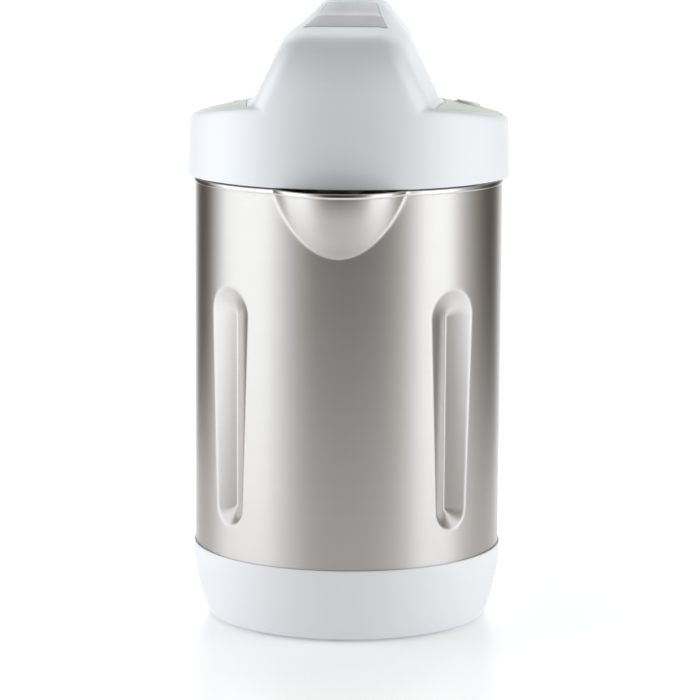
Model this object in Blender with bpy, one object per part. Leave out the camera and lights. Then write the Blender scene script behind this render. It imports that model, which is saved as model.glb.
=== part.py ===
"""A heated stainless jug with a lift-off motor head, for making yogurt and plant milk.

Frame: metres, +Z up, origin on the table under the centre of the jug.
The pouring spout points along -Y and the handle along +Y.
Every named mesh object is one separate piece. Empties carry the pieces that move together.
"""

import math

import bmesh
import bpy
from mathutils import Matrix, Vector

MM = 0.001
GAP = 0.3 * MM                    # clearance kept between neighbouring pieces
BIG = 40                          # segments of the large round pieces
MEDIUM = 16                       # segments of motor sized pieces
SMALL = 8                        # segments of screws, pins and rods

# Jug
SHELL_R = 77.5 * MM               # outer radius of the steel jacket
SHELL_WALL = 0.8 * MM
SHELL_Z = (34.2 * MM, 223.9 * MM)
RIM_Z = 225.0 * MM                # top of the pot's flat rim
RIM_FOLD_Z = RIM_Z - 2.6 * MM     # the pot's rim folds down over the jacket to here
SPOUT_HALF_ANGLE = math.radians(24.5)
SPOUT_DEPTH = 33.0 * MM           # height of the spout below the rim
SPOUT_REACH = 14.0 * MM           # how far the lip stands out of the jacket
RECESS_ANGLES = [math.radians(a) for a in (-134.5, -45.5, 45.5, 134.5)]
RECESS_Z = (55.0 * MM, 174.0 * MM)
RECESS_HALF_WIDTH = (9.8 * MM, 13.6 * MM)   # at the bottom and at the top
RECESS_DEPTH = 6.0 * MM
POT_R = 69.5 * MM                 # outer radius of the inner pot
POT_WALL = 0.8 * MM
POT_FLOOR_Z = 50.0 * MM
POT_CORNER_R = 12.0 * MM
BASE_RIM_Z = 1.5 * MM             # the cup's lower edge, just above the table
BASE_TOP_Z = 37.8 * MM
BASE_PLATE_Z = (1.8 * MM, 3.8 * MM)
BASE_SCREW_R = 63.5 * MM          # pitch radius of the screws that close the base
BASE_SHELF_Z = (30.6 * MM, 33.8 * MM)
BASE_OPENING_R = 67.2 * MM

# Head
HEAD_Z = 226.0 * MM               # lower edge of the white ring
HEAD_R = 80.2 * MM                # radius of the ring at its shoulder and of the tower's front
HEAD_FLARE = 1.1 * MM             # how much wider the ring is at its lower edge
HEAD_WALL = 2.2 * MM
DOME_TOP_Z = 267.0 * MM
DOME_EDGE = (77.4 * MM, 255.9 * MM)
WING_TILT = 0.145                 # how steeply the ring and its wings rise towards the front
WING_TILT_Y = -8.0 * MM           # and where the rise starts
TOWER_FRONT_R = 79.8 * MM         # the tower's front stands just inside the ring
TOWER_STATIONS = ((-90 * MM, 0.86), (-22 * MM, 1.0), (86 * MM, 0.80))   # width along Y
COVER_SKIRT_R = 67.2 * MM
COVER_FLOOR_Z = (213.0 * MM, 214.2 * MM)
COVER_FLANGE_Z = (228.3 * MM, 229.7 * MM)
COVER_FLANGE_R = 78.4 * MM
COVER_SCREW_R = 70.2 * MM         # pitch radius of the screws that close the head
NOSE_HALF_WIDTH = 19.0 * MM
NOSE_UNDERSIDE_Z = 249.3 * MM
PANEL_DEPTH = 1.0 * MM            # thickness of the inlaid panels and of the display window
POCKET_DEPTH = 1.3 * MM

# Drive
SHAFT_R = 3.0 * MM
SHAFT_Z = (57.5 * MM, 291.0 * MM)
COLUMN_R = 9.0 * MM
COLUMN_Z = (84.0 * MM, 216.4 * MM)
BLADE_Z = (62.0 * MM, 68.0 * MM)
BLADE_REACH = 21.0 * MM

# Handle
HANDLE_HALF_WIDTH = 16.5 * MM
HANDLE_WALL = 2.5 * MM
HANDLE_CLEAR_R = SHELL_R + GAP    # the handle's ends fit the jacket
HANDLE_TOP_CLEAR_R = 82.2 * MM    # above this step the handle stands clear of the head's ring
HANDLE_STEP_Z = 220.5 * MM
BOLT_ROWS = {"lower": 56 * MM, "upper": 213.5 * MM}
INLET_Z = 62.0 * MM               # centre height of the power inlet
COUPLER_Y = 104.0 * MM            # centre of the plug that feeds the head

BUTTON_TRAVEL = 1.2 * MM
BUTTON_STEM_Z = 255.4 * MM
BUTTONS = {"start_button": ((59.5 * MM, 12.0 * MM), 6.2 * MM),
           "select_button": ((57.5 * MM, 33.0 * MM), 4.8 * MM)}


# ---------------------------------------------------------------- helpers

def clear_scene():
    for old in list(bpy.data.objects):
        bpy.data.objects.remove(old)


def material(name, colour, roughness, metallic=0.0):
    """A Principled BSDF in the part's own colour."""
    mat = bpy.data.materials.get(name)
    if mat:
        return mat
    mat = bpy.data.materials.new(name)
    mat.use_nodes = True
    shader = mat.node_tree.nodes["Principled BSDF"]
    shader.inputs["Base Color"].default_value = (*colour, 1.0)
    shader.inputs["Roughness"].default_value = roughness
    shader.inputs["Metallic"].default_value = metallic
    mat.diffuse_color = (*colour, 1.0)
    return mat


def empty(name, place=(0, 0, 0), parent=None):
    """A named frame for the pieces that move together; place is in world coordinates."""
    frame = bpy.data.objects.new(name, None)
    bpy.context.scene.collection.objects.link(frame)
    put(frame, place, parent)
    return frame


def put(obj, place, parent):
    """Parents obj and moves it to a place in world coordinates. No parent is turned or scaled."""
    origin = Vector((0, 0, 0))
    above = parent
    while above is not None:
        origin += above.location
        above = above.parent
    obj.parent = parent
    obj.location = Vector(place) - origin


def finish_mesh(name, bm, mat, parent, place=(0, 0, 0)):
    """Turns a bmesh in world coordinates into an object whose origin is at place."""
    bmesh.ops.recalc_face_normals(bm, faces=bm.faces)
    bm.transform(Matrix.Translation(-Vector(place)))
    mesh = bpy.data.meshes.new(name)
    bm.to_mesh(mesh)
    bm.free()
    if mat:
        mesh.materials.append(mat)
    mesh.shade_smooth()
    mesh.set_sharp_from_angle(angle=math.radians(35))
    obj = bpy.data.objects.new(name, mesh)
    bpy.context.scene.collection.objects.link(obj)
    put(obj, place, parent)
    return obj


def add_rings(bm, rings):
    """Joins closed rings of points in order, and the last ring to the first one.
    A ring of one point is a pole, and two poles in a row are not joined to each other."""
    rows = [[bm.verts.new(p) for p in ring] for ring in rings]
    for a, b in zip(rows, rows[1:] + rows[:1]):
        count = max(len(a), len(b))
        if count == 1:
            continue
        for i in range(count):
            j = (i + 1) % count
            corners = [a[i % len(a)], a[j % len(a)], b[j % len(b)], b[i % len(b)]]
            unique = list(dict.fromkeys(corners))
            bm.faces.new(unique)


def ring_at(r, z, segments, centre=(0.0, 0.0)):
    if r < 1e-7:
        return [Vector((centre[0], centre[1], z))]
    step = 2 * math.pi / segments
    return [Vector((centre[0] + r * math.sin(i * step), centre[1] - r * math.cos(i * step), z))
            for i in range(segments)]


def lathe(name, profile, segments, mat, parent, centre=(0.0, 0.0), place=None):
    """A solid turned about a vertical axis from a closed (radius, height) outline."""
    bm = bmesh.new()
    add_rings(bm, [ring_at(r, z, segments, centre) for r, z in profile])
    place = place or (0, 0, 0)
    return finish_mesh(name, bm, mat, parent, place)


def tube_profile(inner, outer, low, high):
    if inner <= 0:
        return [(0, low), (outer, low), (outer, high), (0, high)]
    return [(inner, low), (outer, low), (outer, high), (inner, high)]


def group(name, makers, mat, parent, place=(0, 0, 0)):
    """Several separate solids in one object, for identical small pieces."""
    bm = bmesh.new()
    for make in makers:
        make(bm)
    return finish_mesh(name, bm, mat, parent, place)


def rod(start, end, radius, segments=SMALL):
    """A maker for group(): a straight round rod between two points."""
    def make(bm):
        a, b = Vector(start), Vector(end)
        turn = (b - a).to_track_quat("Z", "Y").to_matrix().to_4x4()
        frame = Matrix.Translation((a + b) / 2) @ turn
        bmesh.ops.create_cone(bm, cap_ends=True, segments=segments, radius1=radius,
                              radius2=radius, depth=(b - a).length, matrix=frame)
    return make


def block(low, high):
    """A maker for group(): a box between two corners."""
    def make(bm):
        size = [abs(b - a) for a, b in zip(low, high)]
        middle = (Vector(high) + Vector(low)) / 2
        frame = Matrix.Translation(middle) @ Matrix.Diagonal((*size, 1.0))
        bmesh.ops.create_cube(bm, size=1.0, matrix=frame)
    return make


def box(name, low, high, mat, parent, bevel=0.0, segments=1):
    obj = group(name, [block(low, high)], mat, parent,
                (Vector(low) + Vector(high)) / 2)
    if bevel:
        edge = obj.modifiers.new("edges", "BEVEL")
        edge.width = bevel
        edge.segments = segments
    return obj


AXES = {"z": lambda a, b, t: Vector((a, b, t)), "x": lambda a, b, t: Vector((t, a, b)),
        "y": lambda a, b, t: Vector((a, t, b))}


def add_prism(bm, bottom, top):
    """Closes two matching outlines into one solid."""
    rows = [[bm.verts.new(p) for p in row] for row in (bottom, top)]
    bm.faces.new(rows[0])
    bm.faces.new(rows[1])
    count = len(bottom)
    for i in range(count):
        j = (i + 1) % count
        bm.faces.new([rows[0][i], rows[0][j], rows[1][j], rows[1][i]])


def prism(name, outline, low, high, along, mat, parent):
    """A flat outline made thick along one axis: (x, y) along z, (y, z) along x or (x, z) along y."""
    at = AXES[along]
    bm = bmesh.new()
    add_prism(bm, [at(a, b, low) for a, b in outline], [at(a, b, high) for a, b in outline])
    return finish_mesh(name, bm, mat, parent)


def combine(obj, other, operation):
    """A live Boolean; the other object becomes a hidden construction shape."""
    boolean = obj.modifiers.new(operation.lower(), "BOOLEAN")
    boolean.operation = operation
    boolean.solver = "EXACT"
    boolean.object = other
    other.hide_render = True
    other.display_type = "WIRE"
    return obj


def rounded(corners, steps=4):
    """A closed outline whose corners (a, b, radius) are replaced by arcs."""
    outline = []
    for i, (a, b, radius) in enumerate(corners):
        here = Vector((a, b))
        if radius <= 0:
            outline.append((a, b))
            continue
        before = (Vector(corners[i - 1][:2]) - here).normalized()
        after = (Vector(corners[(i + 1) % len(corners)][:2]) - here).normalized()
        half = before.angle(after) / 2
        reach = radius / math.tan(half)
        centre = here + (before + after).normalized() * (radius / math.sin(half))
        start = here + before * reach - centre
        sweep = start.angle_signed(here + after * reach - centre)
        for k in range(steps + 1):
            turned = start.copy()
            turned.rotate(Matrix.Rotation(-sweep * k / steps, 2))
            outline.append(tuple(centre + turned))
    return outline


def inset(outline, distance):
    """A convex outline moved inwards by a distance."""
    area = sum(a[0] * b[1] - b[0] * a[1] for a, b in zip(outline, outline[1:] + outline[:1]))
    side = 1 if area > 0 else -1
    moved = []
    for i, corner in enumerate(outline):
        here = Vector(corner)
        into = (here - Vector(outline[i - 1])).normalized()
        out = (Vector(outline[(i + 1) % len(outline)]) - here).normalized()
        normal_in = Vector((-into.y, into.x)) * side
        normal_out = Vector((-out.y, out.x)) * side
        bisector = (normal_in + normal_out).normalized()
        moved.append(tuple(here + bisector * (distance / max(0.2, bisector.dot(normal_in)))))
    return moved


# ---------------------------------------------------------------- jug shapes

def spout_bulge(angle, z):
    """How far the spout stands out of the round jacket at an angle from the front and a height."""
    t = (RIM_Z - z) / SPOUT_DEPTH
    if t >= 1:
        return 0.0
    half = SPOUT_HALF_ANGLE * math.sqrt(1 - max(t, 0.0) ** 1.2)
    u = abs(angle) / half
    if u >= 1:
        return 0.0
    return SPOUT_REACH * (1 - max(t, 0.0) ** 1.5) * (1 - u * u)


def recess_depth(angle, z):
    """Depth of the pressed grip recesses: long teardrops with a V-shaped valley."""
    low_r, high_r = RECESS_HALF_WIDTH
    low, high = RECESS_Z[0] + low_r, RECESS_Z[1] - high_r
    along = min(1.0, max(0.0, (z - low) / (high - low)))
    half = low_r + (high_r - low_r) * along
    past = max(0.0, low - z, z - high)
    for centre in RECESS_ANGLES:
        across = SHELL_R * (angle - centre)
        distance = half - math.hypot(across, past)
        if distance > 0:
            return RECESS_DEPTH * distance / half
    return 0.0


def jacket_angles(fine):
    """Angles from the front: close together at the spout, and at the recesses when fine is true."""
    steps = [math.radians(a) for a in (-24.5, -18, -12, -6, 0, 6, 12, 18, 24.5)]
    if fine:
        spread = RECESS_HALF_WIDTH[1] / SHELL_R
        for centre in RECESS_ANGLES:
            steps += [centre + spread * k / 3 for k in range(-3, 4)]
        steps += [math.radians(a) for a in (-30, 30, -62, 62, -71, 71, -80.5, 80.5, -90, 90, -99.5,
                                            99.5, -109, 109, -118, 118, 150, -150, 157.5, -157.5,
                                            165, -165, 172.5, -172.5, 180)]
    else:
        steps += [math.radians(24.5 + 311 * k / 36) for k in range(1, 36)]
    wrapped = {round(math.remainder(a, 2 * math.pi), 6): a for a in steps}
    return sorted(wrapped)


def jacket_ring(angles, z, offset, with_recess=True):
    """Points round the jacket's surface at a height, moved outwards by an offset."""
    ring = []
    for a in angles:
        r = SHELL_R + spout_bulge(a, z) + offset
        if with_recess:
            r -= recess_depth(a, z)
        ring.append(Vector((r * math.sin(a), -r * math.cos(a), z)))
    return ring


def make_outer_shell(mats, jug):
    angles = jacket_angles(True)
    z_low, z_high = SHELL_Z
    heights = [z_low, RECESS_Z[0], 58.5 * MM, 64.8 * MM, 112 * MM, 160.4 * MM, 168 * MM,
               RECESS_Z[1], RIM_Z - SPOUT_DEPTH, 197 * MM, 204 * MM, 213 * MM, RIM_FOLD_Z, z_high]
    bm = bmesh.new()
    outer = [jacket_ring(angles, z, 0.0) for z in heights]
    inner = [jacket_ring(angles, z, -SHELL_WALL) for z in reversed(heights)]
    add_rings(bm, outer + inner)
    return finish_mesh("outer_shell", bm, mats["steel"], jug)


def pot_ring(angles, z, offset):
    """The pot's wall: round below, opening into the spout towards the rim."""
    ring = []
    for a in angles:
        share = spout_bulge(a, z) / SPOUT_REACH
        r = POT_R + offset + share * (SHELL_R + SPOUT_REACH - POT_R - 3.0 * MM)
        ring.append(Vector((r * math.sin(a), -r * math.cos(a), z)))
    return ring


def make_inner_pot(mats, jug):
    angles = jacket_angles(False)
    rim_under = SHELL_Z[1] + GAP
    corner = [math.radians(a) for a in (0, 30, 60, 90)]
    inside_r = POT_R - POT_WALL

    def floor_rings(radius, floor_z, corner_r):
        rings = [[Vector((0, 0, floor_z))]]
        for a in corner:
            r = radius - corner_r + corner_r * math.sin(a)
            z = floor_z + corner_r * (1 - math.cos(a))
            rings.append([Vector((r * math.sin(b), -r * math.cos(b), z)) for b in angles])
        return rings

    walls = [RIM_Z - SPOUT_DEPTH, 199 * MM, 208 * MM, 217 * MM]
    inside = floor_rings(inside_r, POT_FLOOR_Z + POT_WALL, POT_CORNER_R - POT_WALL)
    inside += [pot_ring(angles, z, -POT_WALL) for z in walls + [RIM_Z]]
    rim = [jacket_ring(angles, RIM_Z, 1.1 * MM, False),
           jacket_ring(angles, RIM_FOLD_Z, 1.1 * MM, False),
           jacket_ring(angles, RIM_FOLD_Z, GAP + 0.1 * MM, False),
           jacket_ring(angles, rim_under, GAP + 0.1 * MM, False)]
    outside = [pot_ring(angles, z, 0.0) for z in [rim_under] + walls[::-1]]
    outside += floor_rings(POT_R, POT_FLOOR_Z, POT_CORNER_R)[::-1]
    bm = bmesh.new()
    add_rings(bm, inside + rim + outside)
    return finish_mesh("inner_pot", bm, mats["steel_inner"], jug)


def base_outline():
    """The base cup's outer curve from its foot to its lip."""
    return [(69.5 * MM, BASE_RIM_Z), (72.9 * MM, 9.8 * MM), (75.3 * MM, 18.2 * MM),
            (77.4 * MM, 26.6 * MM), (78.5 * MM, 34.0 * MM), (78.5 * MM, BASE_TOP_Z)]


def make_base(mats, jug):
    lip_r = SHELL_R + GAP
    shelf_low, shelf_high = BASE_SHELF_Z
    profile = base_outline() + [
        (lip_r, BASE_TOP_Z), (lip_r, shelf_high), (62 * MM, shelf_high), (62 * MM, shelf_low),
        (75.0 * MM, shelf_low), (72.6 * MM, 18.2 * MM), (BASE_OPENING_R, 4.4 * MM),
        (BASE_OPENING_R, BASE_RIM_Z)]
    cup = lathe("base_cup", profile, BIG, mats["white"], jug)
    bosses = group("base_boss_shapes",
                   [rod((x, y, 4.1 * MM), (x, y, shelf_high - 1 * MM), 4.2 * MM)
                    for x, y in square_points(BASE_SCREW_R)], None, jug)
    combine(cup, bosses, "UNION")
    bores = group("base_bore_shapes",
                  [rod((x, y, 3.0 * MM), (x, y, 20 * MM), 1.7 * MM)
                   for x, y in square_points(BASE_SCREW_R)], None, jug)
    combine(cup, bores, "DIFFERENCE")

    plate = lathe("base_plate", tube_profile(0, BASE_OPENING_R - 0.5 * MM, *BASE_PLATE_Z),
                  BIG, mats["grey"], jug)
    holes = [rod((x, y, 1 * MM), (x, y, 5 * MM), 1.8 * MM) for x, y in square_points(BASE_SCREW_R)]
    holes += [block((x - 1 * MM, -18 * MM, 1 * MM), (x + 1 * MM, 18 * MM, 5 * MM))
              for x in (-20 * MM, -12 * MM, -4 * MM, 4 * MM, 12 * MM, 20 * MM)]
    combine(plate, group("base_plate_hole_shapes", holes, None, jug), "DIFFERENCE")

    foot = [(0, 0), (6.8 * MM, 0), (7.2 * MM, 0.4 * MM), (7.2 * MM, 1.5 * MM), (0, 1.5 * MM)]
    for row, y in (("front", -34 * MM), ("rear", 34 * MM)):
        for side, x in (("left", -34 * MM), ("right", 34 * MM)):
            lathe(f"foot_{row}_{side}", foot, 16, mats["rubber"], jug, (x, y), (x, y, 0))


def square_points(radius):
    """Four points on a circle, on the axes between the feet."""
    return [(radius * math.cos(a), radius * math.sin(a))
            for a in (0, math.pi / 2, math.pi, 1.5 * math.pi)]


def make_heater(mats, jug):
    lathe("heater_plate", tube_profile(0, 52 * MM, 45.6 * MM, 49.7 * MM), 32, mats["aluminium"], jug)
    turns = [(44 * MM + 3.2 * MM * math.cos(a), 42.0 * MM + 3.2 * MM * math.sin(a))
             for a in [math.radians(60 * k) for k in range(6)]]
    lathe("heating_element", turns, 32, mats["dark_metal"], jug)
    lathe("cutout_thermostat", [(0, 37 * MM), (9 * MM, 37 * MM), (9 * MM, 43 * MM), (11 * MM, 43 * MM),
                                (11 * MM, 45.3 * MM), (0, 45.3 * MM)], 20, mats["black"], jug,
          (-16 * MM, 0))
    lathe("pot_temperature_sensor", [(0, 39 * MM), (4 * MM, 39 * MM), (4 * MM, 45.3 * MM),
                                     (0, 45.3 * MM)], SMALL, mats["brass"], jug, (16 * MM, 10 * MM))


def make_handle(mats, jug):
    y_in = 74 * MM
    outline = rounded([(y_in, 246 * MM, 0), (134 * MM, 246 * MM, 16 * MM),
                       (134 * MM, 168 * MM, 80 * MM), (126 * MM, 86 * MM, 30 * MM),
                       (126 * MM, 40.5 * MM, 5 * MM), (y_in, 40.5 * MM, 0), (y_in, 82 * MM, 0),
                       (103 * MM, 82 * MM, 9 * MM), (113 * MM, 148 * MM, 60 * MM),
                       (113 * MM, 204 * MM, 12 * MM), (y_in, 204 * MM, 0)])
    hollow = rounded([(85 * MM, 243.5 * MM, 0), (131.5 * MM, 243.5 * MM, 13.5 * MM),
                      (131.5 * MM, 168 * MM, 80 * MM), (123.5 * MM, 86 * MM, 30 * MM),
                      (123.5 * MM, 43 * MM, 2.5 * MM), (82 * MM, 43 * MM, 0), (82 * MM, 79.5 * MM, 0),
                      (105 * MM, 79.5 * MM, 9 * MM), (115.5 * MM, 148 * MM, 60 * MM),
                      (115.5 * MM, 206.5 * MM, 9.5 * MM), (82 * MM, 206.5 * MM, 0), (82 * MM, 219 * MM, 0),
                      (85 * MM, 222 * MM, 0)])
    half = HANDLE_HALF_WIDTH
    seat = [(0, 20 * MM), (HANDLE_CLEAR_R, 20 * MM), (HANDLE_CLEAR_R, HANDLE_STEP_Z),
            (HANDLE_TOP_CLEAR_R, HANDLE_STEP_Z), (HANDLE_TOP_CLEAR_R, 260 * MM), (0, 260 * MM)]
    jacket = lathe("handle_seat_shape", seat, 96, None, jug)
    grip = prism("handle_grip", outline, -half, half, "x", mats["white"], jug)
    combine(grip, jacket, "DIFFERENCE")
    inside = half - HANDLE_WALL
    combine(grip, prism("handle_hollow_shape", hollow, -inside, inside, "x", None, jug), "DIFFERENCE")
    mouth = box("handle_mouth_shape", (-12 * MM, 98 * MM, 94 * MM), (12 * MM, 118 * MM, 190 * MM),
                None, jug)
    combine(grip, mouth, "DIFFERENCE")
    inlet_hole = box("inlet_hole_shape", (-14.2 * MM, 118 * MM, INLET_Z - 10.6 * MM),
                     (14.2 * MM, 130 * MM, INLET_Z + 10.6 * MM), None, jug)
    combine(grip, inlet_hole, "DIFFERENCE")
    coupler_hole = box("coupler_hole_shape", (-12.3 * MM, COUPLER_Y - 8.3 * MM, 240 * MM),
                       (12.3 * MM, COUPLER_Y + 8.3 * MM, 250 * MM), None, jug)
    combine(grip, coupler_hole, "DIFFERENCE")
    bolt_places = [(x, z) for z in BOLT_ROWS.values() for x in (-7 * MM, 7 * MM)]
    holes = group("handle_bolt_hole_shapes",
                  [rod((x, 76 * MM, z), (x, 83 * MM, z), 2.2 * MM) for x, z in bolt_places], None, jug)
    combine(grip, holes, "DIFFERENCE")

    cover = prism("handle_cover", outline, -11.7 * MM, 11.7 * MM, "x", mats["grey"], jug)
    slab = box("handle_cover_slab_shape", (-20 * MM, 98 * MM, 94.3 * MM),
               (20 * MM, 115.2 * MM, 189.7 * MM), None, jug)
    combine(cover, slab, "INTERSECT")

    for label, z in BOLT_ROWS.items():
        bracket = box(f"handle_bracket_{label}", (-12 * MM, 82.3 * MM, z - 5 * MM),
                      (12 * MM, 84.3 * MM, z + 5 * MM), mats["screw"], jug)
        studs = group(f"handle_stud_{label}_shapes",
                      [rod((x, 78.6 * MM, z), (x, 83 * MM, z), 1.8 * MM) for x in (-7 * MM, 7 * MM)],
                      None, jug)
        combine(bracket, studs, "UNION")


def make_power_inlet(mats, jug):
    z = INLET_Z
    low, high = z - 10.3 * MM, z + 10.3 * MM
    housing = box("power_inlet", (-13.9 * MM, 106 * MM, low), (13.9 * MM, 126.3 * MM, high),
                  mats["black"], jug)
    mouth = rounded([(-11.8 * MM, z - 8.2 * MM, 0), (11.8 * MM, z - 8.2 * MM, 0),
                     (11.8 * MM, z + 3 * MM, 0), (6.5 * MM, z + 8.2 * MM, 0),
                     (-6.5 * MM, z + 8.2 * MM, 0), (-11.8 * MM, z + 3 * MM, 0)])
    combine(housing, prism("inlet_mouth_shape", mouth, 110 * MM, 128 * MM, "y", None, jug), "DIFFERENCE")
    pins = [(-7 * MM, z - 2 * MM), (7 * MM, z - 2 * MM), (0, z + 2.5 * MM)]
    slots = group("inlet_pin_hole_shapes",
                  [block((x - 1.5 * MM, 104 * MM, h - 2.6 * MM), (x + 1.5 * MM, 112 * MM, h + 2.6 * MM))
                   for x, h in pins], None, jug)
    combine(housing, slots, "DIFFERENCE")
    carrier = box("inlet_contacts", (-10 * MM, 102.6 * MM, z - 7 * MM), (10 * MM, 105.6 * MM, z + 7 * MM),
                  mats["brass"], jug)
    blades = group("inlet_contact_shapes",
                   [block((x - 1.1 * MM, 104.5 * MM, h - 2.1 * MM), (x + 1.1 * MM, 122 * MM, h + 2.1 * MM))
                    for x, h in pins], None, jug)
    combine(carrier, blades, "UNION")


def coupler_pin_places():
    return [(x, COUPLER_Y + y) for x in (-6 * MM, 0.0, 6 * MM) for y in (-2.6 * MM, 2.6 * MM)]


def make_coupler_socket(mats, jug):
    y = COUPLER_Y
    socket = box("coupler_socket", (-12 * MM, y - 8 * MM, 228 * MM), (12 * MM, y + 8 * MM, 246.4 * MM),
                 mats["black"], jug)
    well = box("coupler_well_shape", (-10.4 * MM, y - 6.4 * MM, 232 * MM),
               (10.4 * MM, y + 6.4 * MM, 250 * MM), None, jug)
    combine(socket, well, "DIFFERENCE")
    holes = group("coupler_pin_hole_shapes",
                  [rod((x, v, 226 * MM), (x, v, 234 * MM), 1.6 * MM) for x, v in coupler_pin_places()],
                  None, jug)
    combine(socket, holes, "DIFFERENCE")
    header = box("coupler_pin_header", (-9 * MM, y - 5 * MM, 224.6 * MM), (9 * MM, y + 5 * MM, 227.6 * MM),
                 mats["brass"], jug)
    pins = group("coupler_pin_shapes",
                 [rod((x, v, 226 * MM), (x, v, 243 * MM), 1.2 * MM) for x, v in coupler_pin_places()],
                 None, jug)
    combine(header, pins, "UNION")


def make_harness(mats, jug):
    """The lead inside the handle, from the power inlet up to the coupler."""
    route = [Vector((0, y, z)) * MM
             for y, z in ((98, 58), (98, 70), (102, 78), (111, 82.5), (118, 90), (120.3, 100), (122, 130),
                          (124, 165), (122.5, 195), (115, 214), (104, 221))]
    curve = bpy.data.curves.new("handle_lead", "CURVE")
    curve.dimensions = "3D"
    curve.bevel_depth = 2.4 * MM
    curve.bevel_resolution = 2
    curve.use_fill_caps = True
    points = smooth_route(route, 3)
    spline = curve.splines.new("POLY")
    spline.points.add(len(points) - 1)
    for point, place in zip(spline.points, points):
        point.co = (*place, 1.0)
    curve.materials.append(mats["black"])
    lead = bpy.data.objects.new("handle_lead", curve)
    bpy.context.scene.collection.objects.link(lead)
    put(lead, (0, 0, 0), jug)


def smooth_route(points, steps):
    """Points read from a Catmull-Rom curve through the given points."""
    padded = [points[0] * 2 - points[1]] + points + [points[-1] * 2 - points[-2]]
    out = []
    for a, b, c, d in zip(padded, padded[1:], padded[2:], padded[3:]):
        for k in range(steps):
            t = k / steps
            out.append(0.5 * (2 * b + (c - a) * t + (2 * a - 5 * b + 4 * c - d) * t * t
                              + (3 * b - a - 3 * c + d) * t ** 3))
    out.append(points[-1])
    return out


# ---------------------------------------------------------------- head shapes

def dome_profile(offset, radius, flare, low):
    """The head's turned outline, moved outwards by an offset (inwards when negative)."""
    edge_r, edge_z = DOME_EDGE
    rise = DOME_TOP_Z - edge_z
    sphere = (edge_r ** 2 + rise ** 2) / (2 * rise)
    dome = []
    for share in (0.0, 0.3, 0.55, 0.78, 1.0):
        r = share * edge_r
        drop = sphere - math.sqrt(sphere ** 2 - r ** 2)
        dome.append((r, DOME_TOP_Z - drop + offset))
    shoulder_z = edge_z - 3.6 * MM + offset
    return dome + [(radius - 0.6 * MM + offset, edge_z - 1.0 * MM + offset),
                   (radius + offset, shoulder_z), (radius + flare + offset, low), (0, low)]


def wing_rise(y):
    """How far the head's top and shoulder stand above the plain dome, towards the front."""
    return WING_TILT * max(0.0, WING_TILT_Y - y)


def dome_solid(name, offset, head, low=HEAD_Z, mat=None):
    """The domed head without its tower, over its round wall."""
    profile = dome_profile(offset, HEAD_R, HEAD_FLARE, low)
    rings = [ring_at(r, z, BIG) for r, z in profile]
    for ring in rings[:-2]:
        for point in ring:
            point.z += wing_rise(point.y)
    bm = bmesh.new()
    add_rings(bm, rings)
    return finish_mesh(name, bm, mat, head)


def tower_section():
    """The tower's outline across X: steep flanks, then flatter shoulders up to the crest."""
    right = [(55.5 * MM, 248 * MM), (31.8 * MM, 295.2 * MM), (20.8 * MM, 306.8 * MM),
             (17.4 * MM, 312.2 * MM), (12.0 * MM, 316.5 * MM)]
    return right + [(-x, z) for x, z in reversed(right)]


def tower_side():
    """The tower's outline along Y, from its rolled front edge over the display to its rear."""
    return [(-90 * MM, 236 * MM), (-90 * MM, 283 * MM), (-80.2 * MM, 288 * MM),
            (-78.6 * MM, 292.5 * MM), (-74.5 * MM, 295.8 * MM), (-66 * MM, 297.8 * MM),
            (-34 * MM, 301.2 * MM), (18 * MM, 311.5 * MM), (45 * MM, 314.5 * MM), (60 * MM, 311 * MM),
            (72 * MM, 303 * MM), (79 * MM, 288 * MM), (84 * MM, 236 * MM)]


def tower_loft(name, outline, head):
    """The section stretched along Y: widest behind the front, narrower at the front and the rear."""
    rows = [[Vector((x * scale, y, z)) for x, z in outline] for y, scale in TOWER_STATIONS]
    bm = bmesh.new()
    verts = [[bm.verts.new(p) for p in row] for row in rows]
    bm.faces.new(verts[0])
    bm.faces.new(verts[-1])
    for a, b in zip(verts, verts[1:]):
        for i in range(len(outline)):
            j = (i + 1) % len(outline)
            bm.faces.new([a[i], a[j], b[j], b[i]])
    return finish_mesh(name, bm, None, head)


def tower_solid(name, offset, head):
    """The tower as the meeting of its section, its side outline and the head's round wall."""
    depth = -offset
    tower = tower_loft(name, inset(tower_section(), depth), head)
    side = prism(name + "_side", inset(tower_side(), depth), -60 * MM, 60 * MM, "x", None, head)
    combine(tower, side, "INTERSECT")
    wall = lathe(name + "_wall", tube_profile(0, TOWER_FRONT_R + offset, 230 * MM, 320 * MM), BIG, None,
                 head)
    combine(tower, wall, "INTERSECT")
    return tower


def nose_outline():
    """The rear nose over the handle, seen from the side."""
    return [(60 * MM, NOSE_UNDERSIDE_Z), (132 * MM, NOSE_UNDERSIDE_Z), (134 * MM, 252 * MM),
            (134 * MM, 260 * MM), (130 * MM, 267 * MM), (118 * MM, 275 * MM), (90 * MM, 289 * MM),
            (60 * MM, 300 * MM)]


def panel_outline(side, grow=0.0):
    """The light green panel that fills one wing, seen from above. side is +1 for +X and -1 for -X."""
    arc_r = 76.4 * MM + grow
    margin = 1.6 * grow / arc_r
    first, last, steps = math.radians(-52.6) - margin, math.radians(49) + margin, 14
    outer = [(arc_r * math.cos(a), arc_r * math.sin(a))
             for a in [first + (last - first) * k / steps for k in range(steps + 1)]]
    inner = [(44.0 * MM - grow, 50.0 * MM + grow), (49.6 * MM - grow, -22.0 * MM)]
    outline = outer + inner
    return [(side * x, y) for x, y in outline]


def window_outline(grow=0.0):
    """The display window seen from above: widest at the front, narrowing up the tower."""
    right = [(20.9 * MM + grow, -34 * MM - grow), (14.9 * MM + grow, -5 * MM),
             (12.3 * MM + grow, 17 * MM + grow)]
    return right + [(-x, y) for x, y in reversed(right)]


def cover_screw_points():
    return [(COVER_SCREW_R * math.cos(a), COVER_SCREW_R * math.sin(a))
            for a in [math.radians(d) for d in (38, 142, 218, 322)]]


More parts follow.
